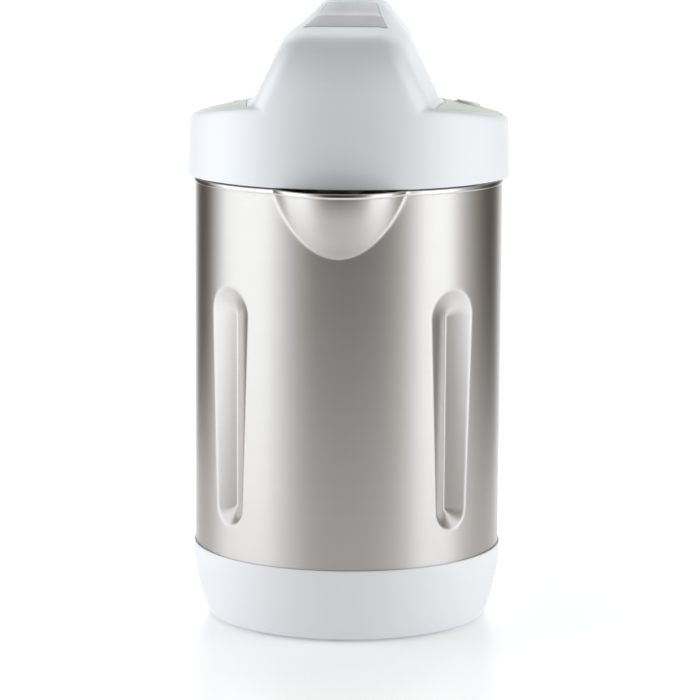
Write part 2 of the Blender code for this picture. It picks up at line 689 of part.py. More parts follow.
def make_head_shell(mats, head):
    shell = dome_solid("head_shell", 0.0, head, HEAD_Z, mats["white"])
    nose = prism("nose_shape", nose_outline(), -NOSE_HALF_WIDTH, NOSE_HALF_WIDTH, "x", None, head)
    combine(shell, nose, "UNION")
    combine(shell, tower_solid("tower_shape", 0.0, head), "UNION")

    cavity = dome_solid("cavity_shape", -HEAD_WALL, head, low=220 * MM)
    combine(cavity, tower_solid("tower_cavity_shape", -HEAD_WALL, head), "UNION")
    inner_half = NOSE_HALF_WIDTH - HEAD_WALL
    nose_cavity = prism("nose_cavity_shape", inset(nose_outline(), HEAD_WALL), -inner_half, inner_half,
                        "x", None, head)
    combine(cavity, nose_cavity, "UNION")
    combine(shell, cavity, "DIFFERENCE")

    bosses = group("cover_boss_shapes",
                   [rod((x, y, COVER_FLANGE_Z[1] + GAP), (x, y, 256.3 * MM + wing_rise(y)), 3.6 * MM)
                    for x, y in cover_screw_points()], None, head)
    combine(shell, bosses, "UNION")
    bores = group("cover_bore_shapes",
                  [rod((x, y, 229 * MM), (x, y, 244 * MM), 1.7 * MM)
                   for x, y in cover_screw_points()], None, head)
    combine(shell, bores, "DIFFERENCE")

    floor = dome_solid("panel_floor_shape", -POCKET_DEPTH, head)
    for name, side in (("left", -1), ("right", 1)):
        pocket = prism(f"panel_pocket_{name}_shape", panel_outline(side, GAP), 240 * MM, 280 * MM,
                       "z", None, head)
        combine(pocket, floor, "DIFFERENCE")
        combine(shell, pocket, "DIFFERENCE")
    pocket = prism("window_pocket_shape", window_outline(GAP), 290 * MM, 330 * MM, "z", None, head)
    combine(pocket, tower_solid("window_floor_shape", -POCKET_DEPTH, head), "DIFFERENCE")
    combine(shell, pocket, "DIFFERENCE")

    holes = [rod((x, y, 240 * MM), (x, y, 270 * MM), r + GAP + 0.1 * MM, 20)
             for (x, y), r in BUTTONS.values()]
    holes += [rod((x, y, 240 * MM), (x, y, 270 * MM), 1.9 * MM) for x, y in lens_points()]
    holes += [block((-9 * MM, -28 * MM, 290 * MM), (9 * MM, 8 * MM, 320 * MM)),
              block((-11.4 * MM, COUPLER_Y - 7.4 * MM, 246 * MM),
                    (11.4 * MM, COUPLER_Y + 7.4 * MM, 253 * MM))]
    combine(shell, group("head_hole_shapes", holes, None, head), "DIFFERENCE")


def lens_points():
    """The row of indicator lenses on the left wing."""
    return [(-58.5 * MM, y * MM) for y in (4, 12, 20, 28, 36)]


def make_panels(mats, head):
    """The inlaid wing panels, the display window and the indicator lenses."""
    for name, side in (("left", -1), ("right", 1)):
        panel = prism(f"wing_panel_{name}", panel_outline(side), 240 * MM, 280 * MM, "z",
                      mats["green"], head)
        combine(panel, dome_solid(f"panel_top_{name}_shape", 0.0, head), "INTERSECT")
        combine(panel, dome_solid(f"panel_bottom_{name}_shape", -PANEL_DEPTH, head, 235 * MM),
                "DIFFERENCE")
        if side > 0:
            holes = [rod((x, y, 240 * MM), (x, y, 270 * MM), r + GAP + 0.1 * MM, 20)
                     for (x, y), r in BUTTONS.values()]
        else:
            holes = [rod((x, y, 240 * MM), (x, y, 270 * MM), 1.9 * MM) for x, y in lens_points()]
        combine(panel, group(f"panel_holes_{name}_shape", holes, None, head), "DIFFERENCE")

    window = prism("display_window", window_outline(), 290 * MM, 330 * MM, "z", mats["smoke"], head)
    combine(window, tower_solid("window_top_shape", 0.0, head), "INTERSECT")
    combine(window, tower_solid("window_bottom_shape", -PANEL_DEPTH, head), "DIFFERENCE")

    guide = box("indicator_light_guide", (-60.4 * MM, 1 * MM, 251 * MM), (-56.6 * MM, 39 * MM, 253 * MM),
                mats["lens"], head)
    lenses = group("indicator_lens_shapes",
                   [rod((x, y, 252 * MM), (x, y, 268 * MM), 1.6 * MM) for x, y in lens_points()],
                   None, head)
    combine(guide, lenses, "UNION")
    combine(guide, dome_solid("lens_top_shape", 0.2 * MM, head), "INTERSECT")


def make_buttons(mats, head):
    """Each button rides on its own empty, and stands a little proud of its panel."""
    for name, ((x, y), r) in BUTTONS.items():
        frame = empty(name + "_travel", (x, y, 262 * MM), head)
        profile = [(0, BUTTON_STEM_Z), (2.2 * MM, BUTTON_STEM_Z), (2.2 * MM, 257.2 * MM),
                   (r, 257.2 * MM), (r, 268 * MM), (0, 268 * MM)]
        button = lathe(name, profile, 20, mats["grey"], frame, (x, y), (x, y, 262 * MM))
        combine(button, dome_solid(name + "_top_shape", 0.8 * MM, head, 240 * MM), "INTERSECT")
    for name, ((x, y), _) in BUTTONS.items():
        box(name.replace("button", "switch"), (x - 3 * MM, y - 3 * MM, 251.0 * MM),
            (x + 3 * MM, y + 3 * MM, BUTTON_STEM_Z - BUTTON_TRAVEL - GAP), mats["black"], head)
    box("button_board", (50 * MM, 3 * MM, 249.0 * MM), (67 * MM, 38.5 * MM, 250.6 * MM), mats["pcb"], head)


def make_lower_cover(mats, head):
    floor_low, floor_high = COVER_FLOOR_Z
    flange_low, flange_high = COVER_FLANGE_Z
    wall = 1.2 * MM
    profile = [(COLUMN_R + 0.4 * MM, floor_low), (64.5 * MM, floor_low),
               (COVER_SKIRT_R, floor_low + 2.7 * MM), (COVER_SKIRT_R, flange_low),
               (COVER_FLANGE_R, flange_low), (COVER_FLANGE_R, flange_high),
               (COVER_SKIRT_R - wall, flange_high), (COVER_SKIRT_R - wall, floor_low + 3.2 * MM),
               (64.0 * MM, floor_high), (COLUMN_R + 0.4 * MM, floor_high)]
    cover = lathe("lower_cover", profile, BIG, mats["steel"], head)
    holes = [rod((x, y, 227 * MM), (x, y, 231 * MM), 1.8 * MM) for x, y in cover_screw_points()]
    holes += [rod((0, y, 211 * MM), (0, y, 216 * MM), r)
              for y, r in ((-30 * MM, 2.3 * MM), (30 * MM, 3.5 * MM))]
    combine(cover, group("cover_hole_shapes", holes, None, head), "DIFFERENCE")
    gasket = tube_profile(73.4 * MM, 78.3 * MM, RIM_Z + GAP, flange_low - GAP)
    lathe("head_gasket", gasket, BIG, mats["silicone"], head)


def make_probes(mats, head):
    """The foam probe and the temperature probe hang through the lower cover."""
    for label, y, r, tip_z in (("foam_probe", -30 * MM, 2.0 * MM, 168 * MM),
                               ("temperature_probe", 30 * MM, 3.2 * MM, 96 * MM)):
        profile = [(0, tip_z), (0.6 * r, tip_z + 0.3 * r), (r, tip_z + r), (r, 222 * MM), (0, 222 * MM)]
        lathe(label, profile, SMALL, mats["steel_inner"], head, (0, y))


def make_column(mats, head):
    low, high = COLUMN_Z
    profile = [(7.4 * MM, low), (8.4 * MM, low), (COLUMN_R, low + 1 * MM), (COLUMN_R, high - 1.8 * MM),
               (17 * MM, high - 1.8 * MM), (17 * MM, high), (7.4 * MM, high)]
    lathe("shaft_column", profile, MEDIUM, mats["steel_inner"], head)
    lathe("column_bush", tube_profile(SHAFT_R + GAP, 7.1 * MM, low + 6 * MM, low + 18 * MM),
          MEDIUM, mats["brass"], head)
    seal = [(SHAFT_R + GAP, low + 0.4 * MM), (7.1 * MM, low + 0.4 * MM), (7.1 * MM, low + 5.4 * MM),
            (5.2 * MM, low + 5.4 * MM), (5.2 * MM, low + 2.4 * MM), (SHAFT_R + GAP, low + 2.4 * MM)]
    lathe("shaft_seal", seal, MEDIUM, mats["rubber"], head)


def make_motor(mats, head):
    square = rounded([(-27 * MM, -27 * MM, 7 * MM), (27 * MM, -27 * MM, 7 * MM),
                      (27 * MM, 27 * MM, 7 * MM), (-27 * MM, 27 * MM, 7 * MM)], 2)
    stator = prism("motor_stator", square, 240 * MM, 262 * MM, "z", mats["iron"], head)
    bore = lathe("stator_bore_shape", tube_profile(0, 17 * MM, 230 * MM, 270 * MM), MEDIUM, None, head)
    combine(stator, bore, "DIFFERENCE")

    for label, low, high in (("lower", 235.4 * MM, 239.7 * MM), ("upper", 262.3 * MM, 267.0 * MM)):
        coil = [(17.6 * MM, low + 0.8 * MM), (18.6 * MM, low), (23.4 * MM, low),
                (24.2 * MM, low + 0.8 * MM), (24.2 * MM, high), (17.6 * MM, high)]
        lathe(f"field_winding_{label}", coil, MEDIUM, mats["copper"], head)

    bracket = rounded([(-13 * MM, -27 * MM, 3 * MM), (13 * MM, -27 * MM, 3 * MM),
                       (13 * MM, 27 * MM, 3 * MM), (-13 * MM, 27 * MM, 3 * MM)], 2)
    for label, low, high in (("lower", 231.6 * MM, 235.1 * MM), ("upper", 279.4 * MM, 282.4 * MM)):
        plate = prism(f"motor_bracket_{label}", bracket, low, high, "z", mats["aluminium"], head)
        seat = lathe(f"bearing_seat_{label}_shape", tube_profile(0, 8.3 * MM, low - 1 * MM, high + 1 * MM),
                     MEDIUM, None, head)
        combine(plate, seat, "DIFFERENCE")
        middle = (low + high) / 2
        race = tube_profile(SHAFT_R + GAP, 8.0 * MM, middle - 2.5 * MM, middle + 2.5 * MM)
        lathe(f"motor_bearing_{label}", race, MEDIUM, mats["bearing"], head)
    mount = lathe("motor_mount", tube_profile(18 * MM, 26 * MM, 216.8 * MM, 218.8 * MM), MEDIUM,
                  mats["grey"], head)
    legs = group("motor_mount_leg_shapes",
                 [rod((0, y, 214.5 * MM), (0, y, 231.3 * MM), 3.4 * MM) for y in (-22 * MM, 22 * MM)],
                 None, head)
    combine(mount, legs, "UNION")
    for label, side in (("left", -1), ("right", 1)):
        holder = box(f"brush_holder_{label}", (side * 11.6 * MM, -4 * MM, 269 * MM),
                     (side * 24 * MM, 4 * MM, 277 * MM), mats["brass"], head)
        channel = box(f"brush_channel_{label}_shape", (side * 10 * MM, -2.8 * MM, 270.2 * MM),
                      (side * 26 * MM, 2.8 * MM, 275.8 * MM), None, head)
        combine(holder, channel, "DIFFERENCE")


def make_electronics(mats, head):
    box("control_board", (-70 * MM, -26 * MM, 232 * MM), (-34 * MM, 26 * MM, 233.6 * MM), mats["pcb"], head)
    box("transformer", (-66 * MM, -16 * MM, 233.9 * MM), (-46 * MM, 2 * MM, 249 * MM), mats["yellow"], head)
    box("relay", (-64 * MM, 6 * MM, 233.9 * MM), (-46 * MM, 20 * MM, 248 * MM), mats["blue"], head)
    box("display_module", (-11 * MM, -30 * MM, 293.0 * MM), (11 * MM, 10 * MM, 298.6 * MM),
        mats["black"], head)


def make_coupler_plug(mats, head):
    y = COUPLER_Y
    plug = box("coupler_plug", (-10 * MM, y - 6 * MM, 234 * MM), (10 * MM, y + 6 * MM, 258 * MM),
               mats["black"], head)
    holes = group("plug_hole_shapes",
                  [rod((x, v, 232 * MM), (x, v, 245 * MM), 1.6 * MM) for x, v in coupler_pin_places()],
                  None, head)
    combine(plug, holes, "DIFFERENCE")


# ---------------------------------------------------------------- rotor

def make_rotor(mats, rotor):
    low, high = SHAFT_Z
    lathe("motor_shaft", tube_profile(0, SHAFT_R, low, high), 16, mats["steel_inner"], rotor)
    bore = SHAFT_R + GAP
    lathe("rotor_core", tube_profile(8.9 * MM, 16.3 * MM, 241 * MM, 261 * MM), MEDIUM, mats["iron"], rotor)
    winding = [(bore, 236.2 * MM), (12.6 * MM, 236.2 * MM), (14.2 * MM, 237.4 * MM),
               (14.2 * MM, 240.7 * MM), (8.6 * MM, 240.7 * MM), (8.6 * MM, 261.3 * MM),
               (14.2 * MM, 261.3 * MM), (14.2 * MM, 264.6 * MM), (12.6 * MM, 266.0 * MM),
               (bore, 266.0 * MM)]
    lathe("armature_winding", winding, MEDIUM, mats["copper"], rotor)
    lathe("commutator", tube_profile(bore, 10.0 * MM, 267 * MM, 277 * MM), MEDIUM, mats["copper"], rotor)

    fan = []
    blades = 8
    for k in range(blades):
        for angle, r in ((-0.30, 8), (-0.07, 8), (-0.03, 21.5), (0.06, 21.5), (0.07, 8)):
            a = 2 * math.pi * k / blades + angle
            fan.append((r * MM * math.cos(a), r * MM * math.sin(a)))
    wheel = prism("cooling_fan", fan, 284 * MM, 290 * MM, "z", mats["grey"], rotor)
    combine(wheel, lathe("fan_bore_shape", tube_profile(0, bore, 280 * MM, 296 * MM), 16, None, rotor),
            "DIFFERENCE")
    make_blade(mats, rotor)


def make_blade(mats, rotor):
    """Four wings on one hub: two bent up and two bent down."""
    low, high = BLADE_Z
    hub = lathe("chopping_blade", tube_profile(0, 6.0 * MM, low, high), MEDIUM, mats["steel_inner"], rotor)
    middle = (low + high) / 2
    for k in range(4):
        tilt = math.radians(16 if k % 2 else -12)
        bm = bmesh.new()
        outline = [(3 * MM, -4.2 * MM), (12 * MM, -4.2 * MM), (BLADE_REACH, 0.5 * MM),
                   (BLADE_REACH - 1 * MM, 2.6 * MM), (3 * MM, 4.2 * MM)]
        add_prism(bm, [(x, y, -0.7 * MM) for x, y in outline], [(x, y, 0.7 * MM) for x, y in outline])
        turn = Matrix.Rotation(math.pi / 2 * k, 4, "Z") @ Matrix.Rotation(-tilt, 4, "Y")
        bm.transform(Matrix.Translation((0, 0, middle)) @ turn)
        combine(hub, finish_mesh(f"blade_wing_{k + 1}_shape", bm, None, rotor), "UNION")
    bore = lathe("blade_bore_shape", tube_profile(0, SHAFT_R + GAP, 50 * MM, 80 * MM), 16, None, rotor)
    combine(hub, bore, "DIFFERENCE")
    thread_r = (SHAFT_R + GAP) / math.cos(math.pi / 6)
    nut = tube_profile(thread_r, 5.6 * MM, low - 3.4 * MM, low - GAP)
    lathe("blade_nut", nut, 6, mats["steel_inner"], rotor)


def make_materials():
    return {
        "steel": material("brushed_steel", (0.62, 0.60, 0.58), 0.32, 1.0),
        "steel_inner": material("polished_steel", (0.66, 0.65, 0.64), 0.2, 1.0),
        "white": material("white_plastic", (0.86, 0.89, 0.91), 0.38),
        "grey": material("light_grey_plastic", (0.70, 0.72, 0.73), 0.45),
        "green": material("pale_green_panel", (0.72, 0.80, 0.70), 0.25),
        "smoke": material("smoked_window", (0.50, 0.46, 0.48), 0.08),
        "lens": material("indicator_lens", (0.85, 0.90, 0.82), 0.15),
        "black": material("black_plastic", (0.03, 0.03, 0.032), 0.5),
        "rubber": material("black_rubber", (0.05, 0.05, 0.05), 0.8),
        "silicone": material("clear_silicone", (0.80, 0.80, 0.78), 0.5),
        "aluminium": material("cast_aluminium", (0.65, 0.65, 0.66), 0.45, 1.0),
        "dark_metal": material("element_sheath", (0.22, 0.21, 0.20), 0.5, 1.0),
        "brass": material("brass", (0.75, 0.60, 0.28), 0.3, 1.0),
        "copper": material("copper", (0.72, 0.38, 0.22), 0.35, 1.0),
        "iron": material("laminated_iron", (0.25, 0.25, 0.26), 0.5, 1.0),
        "bearing": material("bearing_steel", (0.55, 0.55, 0.57), 0.25, 1.0),
        "screw": material("screw_steel", (0.50, 0.50, 0.50), 0.35, 1.0),
        "pcb": material("circuit_board", (0.05, 0.22, 0.10), 0.5),
        "yellow": material("transformer_tape", (0.75, 0.62, 0.12), 0.5),
        "blue": material("relay_case", (0.08, 0.16, 0.45), 0.4),
    }


def main():
    clear_scene()
    mats = make_materials()
    jug = empty("jug")
    make_outer_shell(mats, jug)
    make_inner_pot(mats, jug)
    make_base(mats, jug)
    make_heater(mats, jug)
    make_handle(mats, jug)
    make_power_inlet(mats, jug)
    make_coupler_socket(mats, jug)
    make_harness(mats, jug)
    head = empty("head", (0, 0, HEAD_Z), jug)
    make_head_shell(mats, head)
    make_panels(mats, head)
    make_buttons(mats, head)
    make_lower_cover(mats, head)
    make_probes(mats, head)
    make_column(mats, head)
    make_motor(mats, head)
    make_electronics(mats, head)
    make_coupler_plug(mats, head)
    rotor = empty("rotor", (0, 0, HEAD_Z), head)
    make_rotor(mats, rotor)


main()
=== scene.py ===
"""The looks of the heated jug with a lift-off motor head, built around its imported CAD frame.

Every piece is in metres in the frame of the CAD: origin on the table under the jug, +Z up,
the spout along -Y and the handle along +Y. Shapes are worked out in millimetres.
"""
import math

import bmesh
import bpy
import numpy as np
from mathutils import Matrix, Vector


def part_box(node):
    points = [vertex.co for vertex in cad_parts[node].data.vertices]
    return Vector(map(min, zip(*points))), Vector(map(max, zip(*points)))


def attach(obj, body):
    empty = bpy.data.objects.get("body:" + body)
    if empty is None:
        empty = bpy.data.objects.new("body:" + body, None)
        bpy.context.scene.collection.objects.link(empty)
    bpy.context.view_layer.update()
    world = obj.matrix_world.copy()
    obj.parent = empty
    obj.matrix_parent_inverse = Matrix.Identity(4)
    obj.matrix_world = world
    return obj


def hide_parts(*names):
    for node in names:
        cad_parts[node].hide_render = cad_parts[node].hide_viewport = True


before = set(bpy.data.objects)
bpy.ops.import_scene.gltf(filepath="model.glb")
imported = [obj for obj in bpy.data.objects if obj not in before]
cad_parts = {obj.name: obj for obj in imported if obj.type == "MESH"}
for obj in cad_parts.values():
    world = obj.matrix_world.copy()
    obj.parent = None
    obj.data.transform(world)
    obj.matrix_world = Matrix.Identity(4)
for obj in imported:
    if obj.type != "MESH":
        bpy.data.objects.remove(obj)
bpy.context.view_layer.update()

MM = 0.001
TURN = 2 * math.pi


def span(node):
    """The lowest and highest corner of a CAD node, in millimetres."""
    low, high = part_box(node)
    return np.array(low) / MM, np.array(high) / MM


# -------------------- sizes, in millimetres

SHELL_LOW, SHELL_HIGH = span("outer_shell")
SHELL_R = SHELL_HIGH[0]
POT_LOW, POT_HIGH = span("inner_pot")
RIM_Z = POT_HIGH[2]
SPOUT_REACH = -SHELL_LOW[1] - SHELL_R + 0.1
SPOUT_DEPTH = 33.0
SPOUT_HALF_ANGLE = math.radians(24.5)
POT_R = 69.5
POT_WALL = 0.8
POT_SPOUT_GAP = 3.0                  # between the pot's spout and the jacket's
POT_CORNER_R = 12.0
RECESS_ANGLES = [math.radians(a) for a in (-134.5, -45.5, 45.5, 134.5)]
RECESS_Z = (54.6, 174.4)
RECESS_HALF_WIDTH = (9.8, 13.6)
RECESS_DEPTH = 6.0
SPOUT_EDGE, RECESS_SHOULDER = 0.035, 0.022     # softness, as a share of the half width
JACKET_WALL = 0.8

HEAD_LOW, HEAD_HIGH = span("head_shell")
HEAD_Z = HEAD_LOW[2]
HEAD_FOOT_R = HEAD_HIGH[0]           # at the ring's lower edge
HEAD_R = HEAD_FOOT_R - 1.1           # at its shoulder
HEAD_WALL = 2.2
SHOULDER_Z = 255.0
DOME_TOP_Z = 267.0
DOME_SPHERE_R = 275.4
WING_TILT = 0.145                    # how steeply the ring and its wings rise towards the front
WING_TILT_Y = -8.0
CREST_Z = HEAD_HIGH[2]
NOSE_END_Y = HEAD_HIGH[1]
NOSE_START_Y = 46.0
NOSE_HALF_WIDTH = 19.0
NOSE_LOW_Z = 249.3
FRONT_ROLL, FLANK_ROLL, TOWER_FOOT = 24.0, 8.0, 2.5     # how softly the tower's faces meet

GRIP_LOW, GRIP_HIGH = span("handle_grip")

# The camera stands a little to the right of the spout and looks slightly down. Metres and radians.
CAMERA_DISTANCE = 1.57704
CAMERA_AIM = (0.00109, 0.0, 0.13515)
CAMERA_AZIMUTH = math.radians(3.6)
CAMERA_PITCH = 0.1606
CAMERA_ROLL = 0.0061
CAMERA_LENS = 159.05                 # for a sensor 36 mm wide


# -------------------- pieces

def new_object(name, verts, faces, mat):
    """A mesh from points in millimetres."""
    mesh = bpy.data.meshes.new(name)
    mesh.from_pydata((np.asarray(verts, float) * MM).tolist(), [], faces)
    mesh.materials.append(mat)
    obj = bpy.data.objects.new(name, mesh)
    bpy.context.scene.collection.objects.link(obj)
    return obj


def piece(name, verts, faces, mat, body, replaces=(), smooth_angle=40.0):
    """A new piece that rides on a body and may stand for CAD nodes."""
    obj = new_object(name, verts, faces, mat)
    tidy_normals(obj.data, smooth_angle)
    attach(obj, body)
    if replaces:
        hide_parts(*replaces)
    return obj


def tidy_normals(mesh, smooth_angle):
    """Turns the normals outwards and shades smooth but for the sharper edges."""
    bm = bmesh.new()
    bm.from_mesh(mesh)
    bmesh.ops.recalc_face_normals(bm, faces=bm.faces)
    bm.to_mesh(mesh)
    bm.free()
    mesh.shade_smooth()
    mesh.set_sharp_from_angle(angle=math.radians(smooth_angle))


def bevel(obj, width):
    """Softens the edges that are sharper than 50 degrees."""
    edge = obj.modifiers.new("edges", "BEVEL")
    edge.width = width * MM
    edge.segments = 2
    edge.limit_method = "ANGLE"
    edge.angle_limit = math.radians(50)
    edge.use_clamp_overlap = True


def thicken(obj, thickness):
    """Gives an open surface a wall on its inner side."""
    wall = obj.modifiers.new("wall", "SOLIDIFY")
    wall.thickness = thickness * MM
    wall.offset = -1


def rings_mesh(rings, close=True):
    """Vertices and quads through rings of equal length; a ring of one point is a pole."""
    verts, faces, starts = [], [], []
    for ring in rings:
        starts.append(len(verts))
        verts.extend(ring)
    pairs = list(zip(range(len(rings)), range(1, len(rings))))
    if close:
        pairs.append((len(rings) - 1, 0))
    for a, b in pairs:
        na, nb = len(rings[a]), len(rings[b])
        count = max(na, nb)
        if count == 1:
            continue
        for i in range(count):
            j = (i + 1) % count
            corners = (starts[a] + i % na, starts[a] + j % na, starts[b] + j % nb, starts[b] + i % nb)
            faces.append(list(dict.fromkeys(corners)))
    return verts, faces


def circle(r, z, segments, centre=(0.0, 0.0)):
    if r < 1e-6:
        return [(centre[0], centre[1], z)]
    a = np.arange(segments) * TURN / segments
    return np.stack([centre[0] + r * np.sin(a), centre[1] - r * np.cos(a), np.full(segments, z)], -1)


def fillet(outline, radius, steps=4):
    """A closed (radius, height) outline with each corner off the axis rounded."""
    points = [np.array(p, float) for p in outline]
    rounded = []
    for i, here in enumerate(points):
        before, after = points[i - 1] - here, points[(i + 1) % len(points)] - here
        la, lb = np.linalg.norm(before), np.linalg.norm(after)
        reach = min(radius, 0.45 * la, 0.45 * lb)
        if here[0] < 1e-6 or reach < 0.02:
            rounded.append(tuple(here))
            continue
        start, end = here + before / la * reach, here + after / lb * reach
        for k in range(steps + 1):
            t = k / steps
            rounded.append(tuple((1 - t) ** 2 * start + 2 * t * (1 - t) * here + t * t * end))
    return rounded


def lathe(name, outline, mat, body, replaces=(), segments=160, centre=(0.0, 0.0), radius=0.3):
    """A turned solid with softly rounded edges."""
    rings = [circle(r, z, segments, centre) for r, z in fillet(outline, radius)]
    verts, faces = rings_mesh(rings)
    return piece(name, verts, faces, mat, body, replaces)


# -------------------- smooth solids from a field

def soft_min(a, b, k):
    h = np.clip(0.5 + 0.5 * (b - a) / k, 0, 1)
    return b + (a - b) * h - k * h * (1 - h)


def soft_max(a, b, k):
    return -soft_min(-a, -b, k)


def smooth_line(points, softness, step=0.5):
    """A polyline through (t, value) points with its corners softened, as a function of t."""
    points = np.array(points, float)
    t = np.arange(points[0, 0] - 40, points[-1, 0] + 40, step)
    first, last = points[1] - points[0], points[-1] - points[-2]
    values = np.interp(t, points[:, 0], points[:, 1])
    values += np.minimum(t - points[0, 0], 0) * first[1] / first[0]
    values += np.maximum(t - points[-1, 0], 0) * last[1] / last[0]
    count = int(4 * softness / step)
    weights = np.exp(-0.5 * (np.arange(-count, count + 1) * step / softness) ** 2)
    values = np.convolve(np.pad(values, count, "edge"), weights / weights.sum(), "valid")
    slopes = np.gradient(values, t)
    return (lambda q: np.interp(q, t, values), lambda q: np.interp(q, t, slopes))


EDGES = [(a, b) for a in range(8) for b in range(a + 1, 8) if bin(a ^ b).count("1") == 1]


def field_net(field, low, high, step):
    """Quads on the zero surface of a field by surface nets; the field is negative inside."""
    axes = [np.arange(a, b + step, step) for a, b in zip(low, high)]
    grid = np.stack([field(*np.meshgrid([x], axes[1], axes[2], indexing="ij")) for x in axes[0]])[:, 0]
    inside = grid < 0
    cells = [n - 1 for n in grid.shape]
    offsets = np.array([(i, j, k) for i in (0, 1) for j in (0, 1) for k in (0, 1)])
    corners = [tuple(slice(start, start + n) for start, n in zip(offset, cells)) for offset in offsets]
    count = sum(inside[c].astype(np.int8) for c in corners)
    active = np.argwhere((count > 0) & (count < 8))
    index = np.full(cells, -1)
    index[tuple(active.T)] = np.arange(len(active))
    values = np.stack([grid[tuple((active + o).T)] for o in offsets], 1)
    total, hits = np.zeros((len(active), 3)), np.zeros(len(active))
    for a, b in EDGES:
        crossed = (values[:, a] < 0) != (values[:, b] < 0)
        share = values[:, a] / np.where(crossed, values[:, a] - values[:, b], 1)
        total += np.where(crossed[:, None], offsets[a] + (offsets[b] - offsets[a]) * share[:, None], 0)
        hits += crossed
    verts = (active + total / hits[:, None]) * step + np.array(low)
    quads = []
    step_to = np.eye(3, dtype=int)
    for axis in range(3):
        u, v = (axis + 1) % 3, (axis + 2) % 3
        change = np.argwhere(np.diff(inside, axis=axis))
        keep = (change[:, u] > 0) & (change[:, v] > 0)
        keep &= (change[:, u] < cells[u]) & (change[:, v] < cells[v])
        base = change[keep]
        ring = [base - step_to[u] - step_to[v], base - step_to[v], base, base - step_to[u]]
        quad = np.stack([index[tuple(c.T)] for c in ring], 1)
        flip = ~inside[tuple(base.T)]
        quad[flip] = quad[flip][:, ::-1]
        quads.append(quad)
    return verts, np.concatenate(quads)


def gradient(field, p, reach=0.05):
    """The field's slope at each point, by central differences."""
    parts = []
    for axis in range(3):
        d = np.zeros(3)
        d[axis] = reach
        parts.append((field(*(p + d).T) - field(*(p - d).T)) / (2 * reach))
    return np.stack(parts, -1)


def onto(field, p, rounds=3, limit=0.8):
    """Moves points onto the field's zero surface along its gradient."""
    for _ in range(rounds):
        g = gradient(field, p)
        move = field(*p.T)[:, None] * g / np.maximum((g * g).sum(-1, keepdims=True), 0.05)
        size = np.linalg.norm(move, axis=-1, keepdims=True)
        p = p - move * np.minimum(1, limit / np.maximum(size, 1e-9))
    return p


def relaxed(field, verts, quads, rounds=4):
    """Evens out a net's points while keeping them on the surface."""
    ends = np.concatenate([quads[:, [i, (i + 1) % 4]] for i in range(4)])
    for _ in range(rounds):
        total = np.zeros_like(verts)
        hits = np.zeros(len(verts))
        np.add.at(total, ends[:, 0], verts[ends[:, 1]])
        np.add.at(hits, ends[:, 0], 1)
        np.add.at(total, ends[:, 1], verts[ends[:, 0]])
        np.add.at(hits, ends[:, 1], 1)
        verts = onto(field, 0.5 * verts + 0.5 * total / hits[:, None], 1)
    return onto(field, verts, 3)


# -------------------- head

TOWER_WIDTH, TOWER_WIDTH_SLOPE = smooth_line(
    [(248, 55.5), (295.2, 31.8), (306.8, 20.8), (312.2, 17.4), (316.5, 12.0)], 1.6)
TOWER_CREST, TOWER_CREST_SLOPE = smooth_line(
    [(-80, 296.4), (-66, 297.9), (-34, 301.2), (1, 306.4), (18, 311.2), (30, 313.4), (45, 314.2),
     (58, 311.6), (70, 304.5), (79, 292.0), (84, 270.0)], 2.2)
TOWER_SCALE, _ = smooth_line([(-90, 0.86), (-22, 1.0), (86, 0.80)], 9.0)
NOSE_CREST, NOSE_CREST_SLOPE = smooth_line(
    [(40, 308.0), (60, 301.0), (90, 288.5), (116, 275.5), (128, 267.5), (140, 255.0)], 3.0)


def ramp(value, low, high):
    """A smooth rise from 0 to 1 between two values."""
    t = np.clip((value - low) / (high - low), 0, 1)
    return t * t * (3 - 2 * t)


def head_field(x, y, z):
    """The head's outer form: a flared ring under a dome, with the tower and the rear nose."""
    r = np.hypot(x, y)
    rise = WING_TILT * 3.0 * np.logaddexp(0, (WING_TILT_Y - y) / 3.0)
    dome = np.sqrt(r * r + (z - rise - DOME_TOP_Z + DOME_SPHERE_R) ** 2) - DOME_SPHERE_R
    flank = (np.abs(x) / TOWER_SCALE(y) - TOWER_WIDTH(z)) / np.sqrt(1 + TOWER_WIDTH_SLOPE(z) ** 2)
    crest = (z - TOWER_CREST(y)) / np.sqrt(1 + TOWER_CREST_SLOPE(y) ** 2)
    flare = (HEAD_FOOT_R - HEAD_R) * np.clip((SHOULDER_Z - z) / (SHOULDER_Z - HEAD_Z), -0.2, 1.2)
    wall = r - HEAD_R - flare
    ring = soft_max(dome, wall, 3.0)
    tower = soft_max(flank, soft_max(crest, wall, FRONT_ROLL), FLANK_ROLL)
    inwards = ramp(-wall, 0.5, 5.0)      # no blend on the wall itself, where ring and tower are one
    body = soft_min(ring, tower, 0.01 + TOWER_FOOT * inwards)
    under = soft_max(NOSE_LOW_Z - z, NOSE_START_Y - y, 1.0)
    sides = np.abs(x) - NOSE_HALF_WIDTH + 1.6 * ramp(y, 90, NOSE_END_Y)
    roof = (z - NOSE_CREST(y)) / np.sqrt(1 + NOSE_CREST_SLOPE(y) ** 2)
    nose = soft_max(soft_max(roof, sides, 9.0), soft_max(under, y - NOSE_END_Y + 0.1, 5.0), 3.0)
    return soft_max(soft_min(body, nose, 5.0), HEAD_Z - 4 - z, 0.5)


def on_head(x, y):
    """Points on top of the head above places in plan, found by halving a range of heights."""
    low, high = np.full_like(x, 240.0), np.full_like(x, 330.0)
    for _ in range(30):
        middle = (low + high) / 2
        inside = head_field(x, y, middle) < 0
        low, high = np.where(inside, middle, low), np.where(inside, high, middle)
    return np.stack([x, y, (low + high) / 2], -1)


HEAD_MESH_STEP = 1.3
BUTTONS = ("start_button", "select_button")
BUTTON_HOLE_GAP = 1.3                # between a cap and the hole under the inlay


def button_place(name):
    """A push button's middle in plan, and its radius."""
    low, high = span(name)
    x, y = (low + high)[:2] / 2
    return float(x), float(y), float((high - low)[0] / 2)


